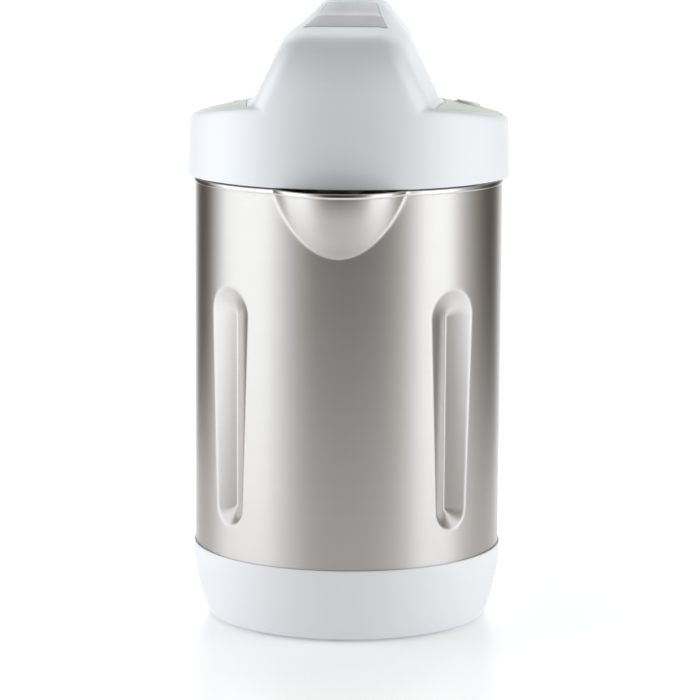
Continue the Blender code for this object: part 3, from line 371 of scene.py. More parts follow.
def make_head_shell(mats):
    """The white moulding, open below, with a hole under each button cap that the wing inlay covers."""
    low = (-84.5, -84.5, HEAD_Z - 7)
    high = (84.5, NOSE_END_Y + 4, CREST_Z + 4)
    verts, quads = field_net(head_field, low, high, HEAD_MESH_STEP)
    verts = relaxed(head_field, verts, quads)
    shell = piece("head_moulding", verts, quads.tolist(), mats["white"], "head", ["head_shell"],
                  60)
    bm = bmesh.new()
    bm.from_mesh(shell.data)
    bmesh.ops.bisect_plane(bm, geom=bm.verts[:] + bm.edges[:] + bm.faces[:], dist=1e-6,
                           plane_co=(0, 0, HEAD_Z * MM), plane_no=(0, 0, -1), clear_outer=True)
    under_caps = []
    for name in BUTTONS:
        x, y, r = button_place(name)
        under_caps += [f for f in bm.faces
                       if (f.calc_center_median().xy / MM - Vector((x, y))).length < r + BUTTON_HOLE_GAP]
    bmesh.ops.delete(bm, geom=under_caps, context="FACES")
    bm.to_mesh(shell.data)
    bm.free()
    shell.data.shade_smooth()
    thicken(shell, HEAD_WALL)


def patch(name, corner, rows, columns, rise, thickness, mat, replaces=()):
    """A thin inlay that follows the head's surface; corner(u, v) gives its plan, u and v from 0 to 1."""
    u, v = np.meshgrid(np.linspace(0, 1, columns), np.linspace(0, 1, rows))
    p = on_head(*corner(u.ravel(), v.ravel()))
    g = gradient(head_field, p)
    p = p + g / np.linalg.norm(g, axis=-1, keepdims=True) * rise
    faces = [(r * columns + c, r * columns + c + 1, (r + 1) * columns + c + 1, (r + 1) * columns + c)
             for r in range(rows - 1) for c in range(columns - 1)]
    obj = piece(name, p, faces, mat, "head", replaces)
    if sum(f.normal.z for f in obj.data.polygons) < 0:
        obj.data.flip_normals()
    thicken(obj, thickness)
    bevel(obj, 0.18)


def round_corners(u, v, width, height, radius):
    """Pulls the corners of the unit square in, so that a plan of that size gets round corners."""
    a, b = np.abs(2 * u - 1), np.abs(2 * v - 1)
    ru, rv = 2 * radius / width, 2 * radius / height
    over_u, over_v = np.clip((a - 1 + ru) / ru, 0, 1), np.clip((b - 1 + rv) / rv, 0, 1)
    further = np.maximum(over_u, over_v)
    shrink = np.where(further > 0, further / np.maximum(np.hypot(over_u, over_v), 1e-9), 1)
    a = np.where(over_u > 0, 1 - ru + over_u * shrink * ru, a)
    b = np.where(over_v > 0, 1 - rv + over_v * shrink * rv, b)
    return 0.5 + 0.5 * a * np.sign(2 * u - 1), 0.5 + 0.5 * b * np.sign(2 * v - 1)


WINDOW_Y = (-34.0, 17.0)
WINDOW_HALF_WIDTH = (20.9, 12.3)
WINDOW_BANDS = [(0.0, (0.27, 0.23, 0.25)), (0.50, (0.33, 0.29, 0.31)), (0.57, (0.74, 0.69, 0.72)),
                (0.8, (0.90, 0.87, 0.90)), (1.0, (0.95, 0.94, 0.95))]


def window_plan(grow):
    """The window's plan: narrower towards the crest, with round corners."""
    def corner(u, v):
        u, v = round_corners(u, v, 33.0, 51.0, 1.4 + grow)
        y = WINDOW_Y[0] - grow + (WINDOW_Y[1] - WINDOW_Y[0] + 2 * grow) * v
        half = WINDOW_HALF_WIDTH[0] + (WINDOW_HALF_WIDTH[1] - WINDOW_HALF_WIDTH[0]) * v + grow
        return (2 * u - 1) * half, y
    return corner


def wing_plan(side, grow):
    """The wing panel's plan: a straight inner edge by the tower and an arc outside."""
    inner, _ = smooth_line([(-61, 46.3), (-22, 49.6), (50, 44.0)], 3.0)
    inner_y = (-61.0 - 1.2 * grow, 50.0 + grow)
    arc_r, first, last = 76.4 + grow, math.radians(-52.9 - grow), math.radians(49.2 + grow)

    def corner(u, v):
        u, v = round_corners(u, v, 24.0, 116.0, 2.0 + grow)
        iy = inner_y[0] + (inner_y[1] - inner_y[0]) * v
        ix = inner(iy) - grow
        a = first + (last - first) * v
        x = ix + (arc_r * np.cos(a) - ix) * u
        return side * x, iy + (arc_r * np.sin(a) - iy) * u
    return corner


def make_inlays(mats):
    # The grey bands, a little wider than each inlay, are painted shadow of the gap round it.
    patch("window_painted_gap_shadow", window_plan(0.45), 60, 44, 0.04, 0.5, mats["gap_shade_band"])
    patch("window_glass", window_plan(0.0), 60, 44, 0.16, 0.8, mats["smoke"], ["display_window"])
    for name, side in (("left", -1), ("right", 1)):
        patch(f"wing_painted_gap_shadow_{name}", wing_plan(side, 0.4), 70, 26, 0.03, 0.5, mats["gap_shade_band"])
        patch(f"wing_inlay_{name}", wing_plan(side, 0.0), 70, 26, 0.14, 0.8, mats["green"],
              [f"wing_panel_{name}"])


def tilted_lathe(name, outline, place, mat, body, replaces=(), segments=64):
    """A small turned solid that stands on the head's surface, square to it."""
    here = on_head(*np.array(place, float).reshape(2, 1))
    normal = Vector(gradient(head_field, here)[0]).normalized()
    verts, faces = rings_mesh([circle(r, h, segments) for r, h in fillet(outline, 0.35)])
    turn = normal.to_track_quat("Z", "Y").to_matrix()
    verts = [turn @ Vector(v) + Vector(here[0]) for v in verts]
    return piece(name, verts, faces, mat, body, replaces)


CAP_SKIRT = 2.0                      # how far a button cap reaches below the head's surface
BEZEL_GAP = 0.5
BEZEL_WIDTH = 0.8
BEZEL_RISE = 0.32
LENSES = 5
LENS_MARGIN = 3.0                    # from the end of the light guide to the first lens


def make_controls(mats):
    """Two dished push buttons on the right wing, flush when pressed, and five lenses on the left."""
    for name in BUTTONS:
        x, y, r = button_place(name)
        cap = [(0, -CAP_SKIRT), (r, -CAP_SKIRT), (r, 1.25), (r - 0.9, 1.55), (0.55 * r, 1.45), (0, 1.38)]
        tilted_lathe(name + "_cap", cap, (x, y), mats["cap"], name, [name])
        inner, outer = r + BEZEL_GAP, r + BEZEL_GAP + BEZEL_WIDTH
        ring = [(inner, -0.6), (outer, -0.6), (outer, BEZEL_RISE), (inner, BEZEL_RISE)]
        tilted_lathe(name + "_bezel", ring, (x, y), mats["bezel"], "head", ())
    low, high = span("indicator_light_guide")
    x = (low[0] + high[0]) / 2
    lens = [(0, -1.5), (1.5, -1.5), (1.5, 0.25), (0.8, 0.42), (0, 0.46)]
    for k in range(LENSES):
        y = low[1] + LENS_MARGIN + k * (high[1] - low[1] - 2 * LENS_MARGIN) / (LENSES - 1)
        tilted_lathe(f"indicator_lens_{k + 1}", lens, (x, y), mats["lens"], "head", (), 32)


# -------------------- jug

def spout_bulge(angle, z):
    """How far the spout stands out of the round jacket."""
    t = np.clip((RIM_Z - z) / SPOUT_DEPTH, 0, 1)
    half = SPOUT_HALF_ANGLE * np.sqrt(np.maximum(1 - t ** 1.2, 1e-9))
    u = np.minimum(np.abs(angle) / half, 1.6)
    across = SPOUT_EDGE * np.logaddexp(0, (1 - u * u) / SPOUT_EDGE)
    return SPOUT_REACH * (1 - t ** 1.9) * np.minimum(across, 1)


def recess_depth(angle, z):
    """Pressed grip recesses: long teardrops with a V-shaped valley and soft shoulders."""
    low_r, high_r = RECESS_HALF_WIDTH
    low, high = RECESS_Z[0] + low_r, RECESS_Z[1] - high_r
    half = low_r + (high_r - low_r) * np.clip((z - low) / (high - low), 0, 1)
    past = np.maximum(0, np.maximum(low - z, z - high))
    depth = np.zeros(np.broadcast(angle, z).shape)
    for centre in RECESS_ANGLES:
        across = SHELL_R * (angle - centre)
        off_axis = np.sqrt(across ** 2 + past ** 2 + 0.35 ** 2)
        inside = (half - off_axis) / half
        share = RECESS_SHOULDER * np.logaddexp(0, inside / RECESS_SHOULDER)
        depth = np.maximum(depth, np.where(inside > -0.35, share * RECESS_DEPTH, 0))
    return depth


def spread(stops, steps):
    """Rising values from stop to stop, with the given step in each stretch."""
    values = []
    for a, b, step in zip(stops, stops[1:], steps):
        count = max(1, round((b - a) / step))
        values.extend(a + (b - a) * k / count for k in range(count))
    return np.array(values + [stops[-1]])


def full_turn(stops, steps):
    """Angles all the way round, from steps in degrees given for one side, from the front."""
    half = np.radians(spread(stops, steps))
    return np.concatenate([-half[:0:-1], half[:-1]])


def ring_at(r, angles, z):
    """Points round the jug at one height; the radius may change with the angle."""
    return np.stack([r * np.sin(angles), -r * np.cos(angles), np.full_like(angles, z)], -1)


def jacket_rings(angles, heights, offset, pressed=True):
    rings = []
    for z in heights:
        r = SHELL_R + spout_bulge(angles, z) + offset
        if pressed:
            r = r - recess_depth(angles, np.full_like(angles, z))
        rings.append(ring_at(r, angles, z))
    return rings


def make_jacket(mats):
    """The outer steel, with its mesh finest at the spout and the recesses."""
    heights = spread([SHELL_LOW[2], 50, 178, 190, SHELL_HIGH[2]], [3.0, 0.8, 2.0, 0.6])
    angles = full_turn([0, 26, 33, 58, 121.5, 147.5, 180], [0.6, 1.0, 0.42, 1.5, 0.42, 1.5])
    outer = jacket_rings(angles, heights, 0.0)
    inner = jacket_rings(angles, heights[::-1], -JACKET_WALL)
    verts, faces = rings_mesh(outer + inner)
    piece("steel_jacket", verts, faces, mats["steel"], "jug", ["outer_shell"], 50)


def pot_rings(angles, heights, offset):
    rings = []
    for z in heights:
        share = spout_bulge(angles, z) / SPOUT_REACH
        r = POT_R + offset + share * (SHELL_R + SPOUT_REACH - POT_R - POT_SPOUT_GAP)
        rings.append(ring_at(r, angles, z))
    return rings


def make_pot(mats):
    """The deep-drawn inner pot, with its rim rolled outwards over the jacket."""
    angles = full_turn([0, 27, 180], [0.8, 2.0])
    heights = spread([70, 190, RIM_Z - 1.2], [8.0, 1.5])

    def bottom(inset):
        r, floor_z, corner_r = POT_R - inset, POT_LOW[2] + inset, POT_CORNER_R - inset
        rings = [[(0.0, 0.0, floor_z)]]
        for a in np.radians(np.linspace(0, 90, 12)):
            rise, reach = corner_r * (1 - math.cos(a)), r - corner_r * (1 - math.sin(a))
            rings.append(ring_at(reach, angles, floor_z + rise))
        return rings

    inside = bottom(POT_WALL) + pot_rings(angles, heights, -POT_WALL)
    outside = pot_rings(angles, heights[::-1], 0.0) + bottom(0.0)[::-1]
    roll = []
    for offset, drop in ((-0.2, 0.25), (0.35, 0.0), (0.75, 0.12), (1.05, 0.5), (1.1, 1.3), (1.0, 2.3),
                         (0.75, 2.6), (0.45, 2.4), (0.42, 1.2)):
        roll += jacket_rings(angles, [RIM_Z - drop], offset, False)
    throat = pot_rings(angles, [RIM_Z - 0.5], -POT_WALL + 1.2)
    verts, faces = rings_mesh(inside + throat + roll + outside)
    piece("pot_liner", verts, faces, mats["steel_inner"], "jug", ["inner_pot"], 50)


def make_base(mats):
    """The white base: a cup that widens upwards, with a ledge for the jacket, and four feet."""
    low, high = span("base_cup")
    lip, top, foot_z = high[0], high[2], low[2]
    plate_edge = span("base_plate")[1][0] + 0.45
    radius_at, _ = smooth_line([(foot_z, 70.9), (3.4, 71.9), (9.8, 74.0), (18.2, 76.1), (26.6, 77.7),
                                (32.6, 78.3), (36.4, lip)], 1.4)
    profile = [(70.4, foot_z), (71.0, foot_z + 0.15)]
    profile += [(float(radius_at(z)), z) for z in np.linspace(foot_z + 0.6, 36.2, 30)]
    profile += [(lip, 36.8), (lip - 0.1, top - 0.3), (lip - 0.35, top), (SHELL_R + 0.2, top)]
    profile += [(SHELL_R + 0.25, 33.8), (62.0, 33.8), (62.0, 30.6), (75.0, 30.6), (72.6, 18.2),
                (plate_edge, 4.4), (plate_edge, foot_z)]
    verts, faces = rings_mesh([circle(min(r, lip), z, 240) for r, z in profile])
    piece("base_moulding", verts, faces, mats["white"], "jug", ["base_cup"], 45)
    for row in ("front", "rear"):
        for side in ("left", "right"):
            node = f"foot_{row}_{side}"
            a, b = span(node)
            r, h = (b - a)[0] / 2, b[2]
            pad = [(0, 0.25), (r - 3.2, 0.25), (r - 2.8, 0), (r - 0.5, 0), (r, 0.4), (r, h), (0, h)]
            lathe(node + "_pad", pad, mats["rubber"], "jug", [node], 72, tuple((a + b)[:2] / 2))


def cross_screw(name, place, low, r, body, mats):
    """A pan-head screw seen from below, with a cross recess."""
    outline = [(0, 0.5), (0.35 * r, 0.5), (0.62 * r, 0), (0.86 * r, 0.18), (r, 0.7), (r, 1.4),
               (0.5 * r, 1.4), (0.5 * r, 8.0), (0, 8.0)]
    verts, faces = rings_mesh([circle(q, low + h, 32, place) for q, h in fillet(outline, 0.15)])
    verts = np.array(verts)
    flat = verts[:, :2] - np.array(place)
    slot = (np.minimum(np.abs(flat[:, 0]), np.abs(flat[:, 1])) < 0.16 * r) & (verts[:, 2] < low + 0.6)
    verts[slot & (np.hypot(*flat.T) < 0.6 * r), 2] += 0.9
    piece(name, verts, faces, mats["screw"], body, ())


def make_screws(mats):
    """Four screws on a circle under the base, and four under the head's cover."""
    for name, circle_r, bearings, low, r, body in (
            ("base_screw", 63.5, (0, 90, 180, 270), 0.5, 2.9, "jug"),
            ("cover_screw", 70.2, (52, 308, 232, 128), 226.8, 2.6, "head")):
        for k, bearing in enumerate(bearings):
            a = math.radians(bearing)
            place = (circle_r * math.sin(a), circle_r * math.cos(a))
            cross_screw(f"{name}_{k + 1}", place, low, r, body, mats)


# -------------------- handle

def polygon_distance(px, py, outline):
    """Signed distance to a closed polygon, negative inside."""
    points = np.array(outline, float)
    best = np.full(px.shape, 1e9)
    inside = np.zeros(px.shape, bool)
    for a, b in zip(points, np.roll(points, -1, 0)):
        e = b - a
        wx, wy = px - a[0], py - a[1]
        t = np.clip((wx * e[0] + wy * e[1]) / (e @ e), 0, 1)
        best = np.minimum(best, np.hypot(wx - e[0] * t, wy - e[1] * t))
        if a[1] != b[1]:
            crosses = (py >= min(a[1], b[1])) & (py < max(a[1], b[1]))
            inside ^= crosses & (px < a[0] + e[0] * (py - a[1]) / e[1])
    return np.where(inside, -best, best)


def grip_outline():
    """The handle seen from the side, as (y, z) points; round corners come from the field."""
    y_in, y_out = 60.0, GRIP_HIGH[1]
    z_low, z_high = GRIP_LOW[2], GRIP_HIGH[2]
    quarter = np.linspace(0, math.pi / 2, 7)
    outer = [(y_out - 9 + 9 * math.sin(a), z_high - 9 + 9 * math.cos(a)) for a in quarter]
    back, _ = smooth_line([(86, y_out - 8), (168, y_out), (z_high - 9, y_out)], 8.0)
    outer += [(float(min(back(z), y_out)), z) for z in np.linspace(z_high - 14, 80, 16)]
    front, _ = smooth_line([(82, 103), (148, 113), (204, 113)], 8.0)
    inner = [(float(front(z)), z) for z in np.linspace(90, 194, 18)]
    low_corner = [(float(front(90)) - 8 * (1 - math.sin(a)), 82 + 8 * (1 - math.cos(a))) for a in quarter]
    high_corner = [(113 - 10 * (1 - math.cos(a)), 194 + 10 * math.sin(a)) for a in quarter]
    return ([(y_in, z_high)] + outer + [(y_out - 8, z_low + 2), (y_out - 10, z_low), (y_in, z_low),
            (y_in, 82)] + low_corner + inner[1:-1] + high_corner + [(y_in, 204)])


GRIP_OUTLINE = grip_outline()


def grip_field(x, y, z):
    """The handle: its outline made 33 mm thick, rounded where a hand holds it."""
    flat = polygon_distance(y, z, GRIP_OUTLINE)
    rounding = 3.0 + 6.0 * ramp(z, 78, 100) * (1 - ramp(z, 200, 222))
    body = soft_max(flat, np.abs(x) - GRIP_HIGH[0], rounding)
    r = np.hypot(x, y)
    seat = SHELL_R + 0.3 + (82.2 - SHELL_R - 0.3) * ramp(z, 220.0, 221.0)
    body = soft_max(body, seat - r, 0.8)
    # The opening for the grip's cover, the inlet's socket and the coupler's well.
    opening = np.maximum(np.maximum(np.abs(x) - 12.0, 93.7 - z), np.maximum(z - 190.3, y - 116.0))
    socket = np.maximum(np.abs(x) - 14.2, np.maximum(np.abs(z - 62.0) - 10.6, 104.0 - y))
    well = np.maximum(np.abs(x) - 12.4, np.maximum(np.abs(y - 104.0) - 8.4, 226.0 - z))
    for cut in (opening, socket, well):
        body = soft_max(body, -cut, 0.9)
    return body


def make_handle(mats):
    low, high = GRIP_LOW - 4, GRIP_HIGH + 4
    verts, quads = field_net(grip_field, low, high, 1.1)
    verts = relaxed(grip_field, verts, quads, 3)
    piece("handle_moulding", verts, quads.tolist(), mats["white"], "jug", ["handle_grip"],
          60)


# -------------------- under the head

COVER_SKIRT_R = 67.2
COVER_FLANGE_Z = 228.3
COVER_SHEET = 1.2
PROBE_COLLAR_Z = 209.6


def make_cover(mats):
    """The steel plate that closes the head from below, with a skirt and a flange, and its gasket."""
    low, high = span("lower_cover")
    hole, skirt, inner, z = 9.4, COVER_SKIRT_R, COVER_SKIRT_R - COVER_SHEET, low[2]
    profile = [(hole, z), (63.0, z), (66.0, z + 0.8), (skirt, z + 3.2), (skirt, COVER_FLANGE_Z),
               (high[0], COVER_FLANGE_Z), (high[0], high[2]), (inner, high[2]), (inner, z + 3.6),
               (63.2, z + COVER_SHEET), (hole, z + COVER_SHEET)]
    lathe("cover_pressing", profile, mats["steel_inner"], "head", ["lower_cover"], 200)
    a, b = span("head_gasket")
    ring = [(73.4, a[2]), (74.6, a[2]), (75.2, a[2] + 0.5), (76.4, a[2] + 0.5), (77.0, a[2]), (b[0], a[2]),
            (b[0], b[2]), (73.4, b[2])]
    lathe("gasket_ring", ring, mats["silicone"], "head", ["head_gasket"], 200)


def make_column(mats):
    """The tube round the motor shaft, and the two probes in their collars."""
    low, high = span("shaft_column")
    profile = [(7.4, low[2]), (8.2, low[2]), (9.0, low[2] + 1.2), (9.0, high[2] - 1.8), (17, high[2] - 1.8),
               (17, high[2]), (7.4, high[2])]
    lathe("column_tube", profile, mats["steel_inner"], "head", ["shaft_column"], 96)
    for node in ("foam_probe", "temperature_probe"):
        a, b = span(node)
        r, centre = (b - a)[1] / 2, tuple((a + b)[:2] / 2)
        tip = [(0.0, a[2])] + [(r * math.sin(t), a[2] + r * (1 - math.cos(t)))
                               for t in np.linspace(0.2, math.pi / 2, 8)]
        lathe(node + "_tube", tip + [(r, b[2]), (0, b[2])], mats["steel_inner"], "head", [node],
              48, centre)
        z = PROBE_COLLAR_Z
        collar = [(r + 0.1, z), (r + 1.6, z), (r + 2.6, z + 1.4), (r + 3.0, z + 3.2), (r + 0.1, z + 3.2)]
        lathe(node + "_collar", collar, mats["rubber"], "head", (), 48, centre)


HUB_Z = (62.0, 68.0)
WING_ROOT, WING_REACH = 4.5, 20.6
WING_THICKNESS = 1.3


def wing_section(number, s):
    """Points round a blade wing's section, s of the way out; both edges and the tip are ground thin."""
    bent_up = number % 2
    twist = math.radians(8 + 14 * s) * (1 if bent_up else -1)
    turn = (Matrix.Rotation(math.radians(90 * number), 3, "Z")
            @ Matrix.Rotation(math.radians(-14 if bent_up else 10), 3, "Y")
            @ Matrix.Rotation(twist, 3, "X"))
    lead, trail = -4.2 + 4.6 * s ** 2.2, 4.2 - 1.6 * s ** 1.5
    x = WING_ROOT + (WING_REACH - WING_ROOT) * s
    top, bottom = [], []
    for t in np.linspace(0, 1, 13):
        half = 0.5 * WING_THICKNESS * min(1, 3.2 * t, 8 * (1 - t)) * min(1, 12 * (1 - s) + 0.05)
        for sheet, z in ((top, half), (bottom, -half)):
            sheet.append(turn @ Vector((x, lead + (trail - lead) * t, z)) + Vector((0, 0, sum(HUB_Z) / 2)))
    return top + bottom[-2:0:-1]


def make_blade(mats):
    """A hub with four sharpened wings, two bent up and two bent down."""
    low, high = HUB_Z
    hub = [(3.3, low), (5.6, low), (6.0, low + 0.6), (6.0, high - 0.6), (5.6, high), (3.3, high)]
    lathe("blade_hub", hub, mats["steel_inner"], "rotor", ["chopping_blade"], 64)
    for k in range(4):
        sections = [wing_section(k, s) for s in np.linspace(0, 1, 26)]
        verts, faces = rings_mesh(sections, False)
        count = len(sections[0])
        faces += [list(range(count)), list(range(len(verts) - count, len(verts)))]
        piece(f"blade_wing_{k + 1}", verts, faces, mats["steel_inner"], "rotor", (), 30)


# -------------------- materials

def colour_ramp(nodes, links, value, stops):
    """Colours by a value from 0 to 1; stops are (position, colour), in rising order."""
    ramp_node = nodes.new("ShaderNodeValToRGB")
    elements = ramp_node.color_ramp.elements
    elements[0].position, elements[1].position = stops[0][0], stops[-1][0]
    for position, _ in stops[1:-1]:
        elements.new(position)
    for element, (_, colour) in zip(elements, stops):
        element.color = (*colour, 1.0)
    links.new(value, ramp_node.inputs["Fac"])
    return ramp_node.outputs["Color"]


def map_range(nodes, links, value, start, end, low=0.0, high=1.0, smooth=False):
    """Maps a value between two marks to a value between two levels, clamped at both."""
    node = nodes.new("ShaderNodeMapRange")
    if smooth:
        node.interpolation_type = "SMOOTHSTEP"
    for name, number in zip(("From Min", "From Max", "To Min", "To Max"), (start, end, low, high)):
        node.inputs[name].default_value = number
    links.new(value, node.inputs["Value"])
    return node.outputs["Result"]


class Finish:
    """A Principled material with helpers that add procedural detail in object space."""

    def __init__(self, name, colour, roughness, metallic=0.0, **sockets):
        self.mat = bpy.data.materials.new(name)
        self.mat.use_nodes = True
        self.nodes, self.links = self.mat.node_tree.nodes, self.mat.node_tree.links
        self.shader = self.nodes["Principled BSDF"]
        self.set("Base Color", (*colour, 1.0))
        self.set("Roughness", roughness)
        self.set("Metallic", metallic)
        self.colour = colour
        for socket, value in sockets.items():
            self.set(socket.replace("_", " "), value)
        self.mat.diffuse_color = (*colour, 1.0)

    def set(self, socket, value):
        self.shader.inputs[socket].default_value = value

    def noise(self, scale, detail=3.0, stretch=(1, 1, 1), rough=0.55):
        place = self.nodes.new("ShaderNodeTexCoord")
        mapping = self.nodes.new("ShaderNodeMapping")
        mapping.inputs["Scale"].default_value = stretch
        self.links.new(place.outputs["Object"], mapping.inputs["Vector"])
        tex = self.nodes.new("ShaderNodeTexNoise")
        tex.inputs["Scale"].default_value = scale
        tex.inputs["Detail"].default_value = detail
        tex.inputs["Roughness"].default_value = rough
        self.links.new(mapping.outputs["Vector"], tex.inputs["Vector"])
        return tex.outputs["Fac"]

    def vary_colour(self, fac, amount, warm=0.0):
        """Lightens and darkens the base colour a little."""
        mix = self.nodes.new("ShaderNodeMix")
        mix.data_type = "RGBA"
        r, g, b = self.colour
        mix.inputs["A"].default_value = (r * (1 - amount), g * (1 - amount), b * (1 - amount - warm), 1)
        mix.inputs["B"].default_value = (min(1, r * (1 + amount)), min(1, g * (1 + amount)),
                                         min(1, b * (1 + amount + warm)), 1)
        self.links.new(fac, mix.inputs["Factor"])
        self.links.new(mix.outputs["Result"], self.shader.inputs["Base Color"])

    def vary_roughness(self, fac, low, high):
        roughness = map_range(self.nodes, self.links, fac, 0.3, 0.7, low, high)
        self.links.new(roughness, self.shader.inputs["Roughness"])

    def bump(self, fac, height_mm):
        node = self.nodes.new("ShaderNodeBump")
        node.inputs["Strength"].default_value = 1.0
        node.inputs["Distance"].default_value = height_mm * MM
        self.links.new(fac, node.inputs["Height"])
        self.links.new(node.outputs["Normal"], self.shader.inputs["Normal"])

    def brushed_round(self, anisotropy):
        """Brush lines that run round the vertical axis, so that highlights stretch up and down."""
        tangent = self.nodes.new("ShaderNodeTangent")
        tangent.direction_type = "RADIAL"
        tangent.axis = "Z"
        self.links.new(tangent.outputs["Tangent"], self.shader.inputs["Tangent"])
        self.set("Anisotropic", anisotropy)
        self.set("Anisotropic Rotation", 0.25)


def moulded(name, colour, roughness, grain=0.004, scale=2600, **sockets):
    """Moulded plastic: a faint spark-eroded grain and slow changes in gloss."""
    f = Finish(name, colour, roughness, **sockets)
    f.vary_colour(f.noise(9, 2), 0.008)
    f.vary_roughness(f.noise(60, 3), roughness * 0.92, roughness * 1.1)
    f.bump(f.noise(scale, 2), grain)
    return f.mat


def metal(name, colour, roughness, scale=900, grain=0.002):
    """Bare metal with an even grain."""
    f = Finish(name, colour, roughness, 1.0)
    fac = f.noise(scale, 3)
    f.vary_colour(f.noise(30, 2), 0.04)
    f.vary_roughness(fac, roughness * 0.8, roughness * 1.25)
    f.bump(fac, grain)
    return f.mat


def jacket_steel():
    """The jacket's satin steel, brushed round the jug."""
    f = Finish("brushed_steel_look", (0.625, 0.605, 0.585), 0.36, 1.0)
    lines = f.noise(1.0, 4, (9, 9, 2400), 0.6)
    f.vary_colour(f.noise(1.0, 3, (6, 6, 500)), 0.012, 0.002)
    f.vary_roughness(lines, 0.34, 0.385)
    f.bump(lines, 0.0003)
    f.brushed_round(0.85)
    return f.mat


def pot_steel():
    """The brighter steel of the pot and of what hangs in it."""
    f = Finish("polished_steel_look", (0.66, 0.65, 0.635), 0.14, 1.0)
    lines = f.noise(1.0, 3, (10, 10, 1800))
    f.vary_colour(f.noise(18, 2), 0.02)
    f.vary_roughness(lines, 0.10, 0.20)
    f.bump(lines, 0.0008)
    f.brushed_round(0.4)
    return f.mat


def window_glass():
    """Smoked glass: darkest over the display at its front, with faint marks, and paler behind."""
    f = Finish("smoked_window_look", (0.40, 0.37, 0.39), 0.20, Specular_IOR_Level=0.14)
    place = f.nodes.new("ShaderNodeTexCoord")
    axes = f.nodes.new("ShaderNodeSeparateXYZ")
    f.links.new(place.outputs["Object"], axes.inputs["Vector"])
    along = map_range(f.nodes, f.links, axes.outputs["Y"], WINDOW_Y[0] * MM, WINDOW_Y[1] * MM)
    bands = colour_ramp(f.nodes, f.links, along, WINDOW_BANDS)
    marks = f.nodes.new("ShaderNodeMix")
    marks.data_type = "RGBA"
    marks.blend_type = "MULTIPLY"
    marks.inputs["Factor"].default_value = 0.35
    f.links.new(bands, marks.inputs["A"])
    f.links.new(f.noise(1.0, 2, (90, 40, 40)), marks.inputs["B"])
    f.links.new(marks.outputs["Result"], f.shader.inputs["Base Color"])
    f.vary_roughness(f.noise(70, 2), 0.13, 0.19)
    f.bump(f.noise(500, 1), 0.0006)
    return f.mat


def layered(name, colour, line_scale, roughness):
    """Stacked sheets or wound wire: fine even lines across Z."""
    f = Finish(name, colour, roughness, 1.0)
    lines = f.noise(1.0, 2, (6, 6, line_scale))
    f.vary_colour(lines, 0.22)
    f.vary_roughness(lines, roughness * 0.8, roughness * 1.2)
    f.bump(lines, 0.03)
    return f.mat


def make_materials():
    return {
        "steel": jacket_steel(),
        "steel_inner": pot_steel(),
        "white": moulded("white_plastic_look", (0.80, 0.825, 0.85), 0.34, 0.0025, 2200),
        "grey": moulded("light_grey_plastic_look", (0.58, 0.60, 0.61), 0.42, 0.006),
        "cap": moulded("button_cap_look", (0.72, 0.75, 0.76), 0.28, 0.002),
        "bezel": moulded("bezel_look", (0.66, 0.66, 0.63), 0.42, 0.001, 1500, Specular_IOR_Level=0.2),
        "green": moulded("green_panel_look", (0.82, 0.90, 0.78), 0.45, 0.001, 1500,
                         Specular_IOR_Level=0.12),
        # Grey for the bands round the inlays: painted gap shadow.
        "gap_shade_band": moulded("painted_gap_shade_look", (0.42, 0.43, 0.44), 0.6),
        "smoke": window_glass(),
        "lens": moulded("indicator_lens_look", (0.80, 0.86, 0.76), 0.12, 0.001),
        "black": moulded("black_plastic_look", (0.018, 0.018, 0.02), 0.45, 0.008, 1800),
        "rubber": moulded("rubber_look", (0.025, 0.025, 0.026), 0.75, 0.012, 1400),
        "silicone": moulded("silicone_look", (0.74, 0.75, 0.73), 0.42, 0.004, 1200),
        "aluminium": metal("cast_aluminium_look", (0.62, 0.62, 0.63), 0.45, 700, 0.02),
        "sheath": metal("element_sheath_look", (0.20, 0.19, 0.18), 0.5, 400, 0.01),
        "brass": metal("brass_look", (0.70, 0.53, 0.24), 0.28),
        "copper": layered("copper_winding_look", (0.66, 0.30, 0.15), 2600, 0.35),
        "iron": layered("laminated_iron_look", (0.22, 0.22, 0.23), 1900, 0.5),
        "screw": metal("screw_steel_look", (0.50, 0.50, 0.50), 0.3, 1500),
        "pcb": moulded("circuit_board_look", (0.02, 0.13, 0.05), 0.35, 0.01, 900),
        "tape": moulded("transformer_tape_look", (0.68, 0.52, 0.08), 0.4, 0.01, 500),
        "relay": moulded("relay_case_look", (0.04, 0.10, 0.34), 0.3),
    }


CAD_FINISHES = {
    "grey": ["base_plate", "handle_cover", "motor_mount", "cooling_fan"],
    "black": ["power_inlet", "coupler_socket", "coupler_plug", "display_module", "start_switch",
              "select_switch", "cutout_thermostat", "handle_lead"],
    "rubber": ["shaft_seal"],
    "lens": ["indicator_light_guide"],
    "aluminium": ["heater_plate", "motor_bracket_lower", "motor_bracket_upper"],
    "sheath": ["heating_element"],
    "iron": ["motor_stator", "rotor_core"],
    "brass": ["inlet_contacts", "coupler_pin_header", "brush_holder_left", "brush_holder_right",
              "column_bush", "pot_temperature_sensor"],
    "copper": ["field_winding_lower", "field_winding_upper", "armature_winding", "commutator"],
    "screw": ["motor_bearing_lower", "motor_bearing_upper", "handle_bracket_lower", "handle_bracket_upper"],
    "steel_inner": ["motor_shaft", "blade_nut"],
    "pcb": ["control_board", "button_board"],
    "tape": ["transformer"],
    "relay": ["relay"],
}
BEVELLED = {"base_plate": 0.5, "handle_cover": 1.2, "power_inlet": 0.6, "coupler_socket": 0.6,
            "coupler_plug": 0.5, "blade_nut": 0.4, "inlet_contacts": 0.3}


def finish_cad_nodes(mats):
    """Gives the CAD pieces that stay their finish, and the larger visible ones softer edges."""
    for key, names in CAD_FINISHES.items():
        for name in names:
            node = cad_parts[name]
            node.data.materials.clear()
            node.data.materials.append(mats[key])
    for name, width in BEVELLED.items():
        bevel(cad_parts[name], width)


# -------------------- studio

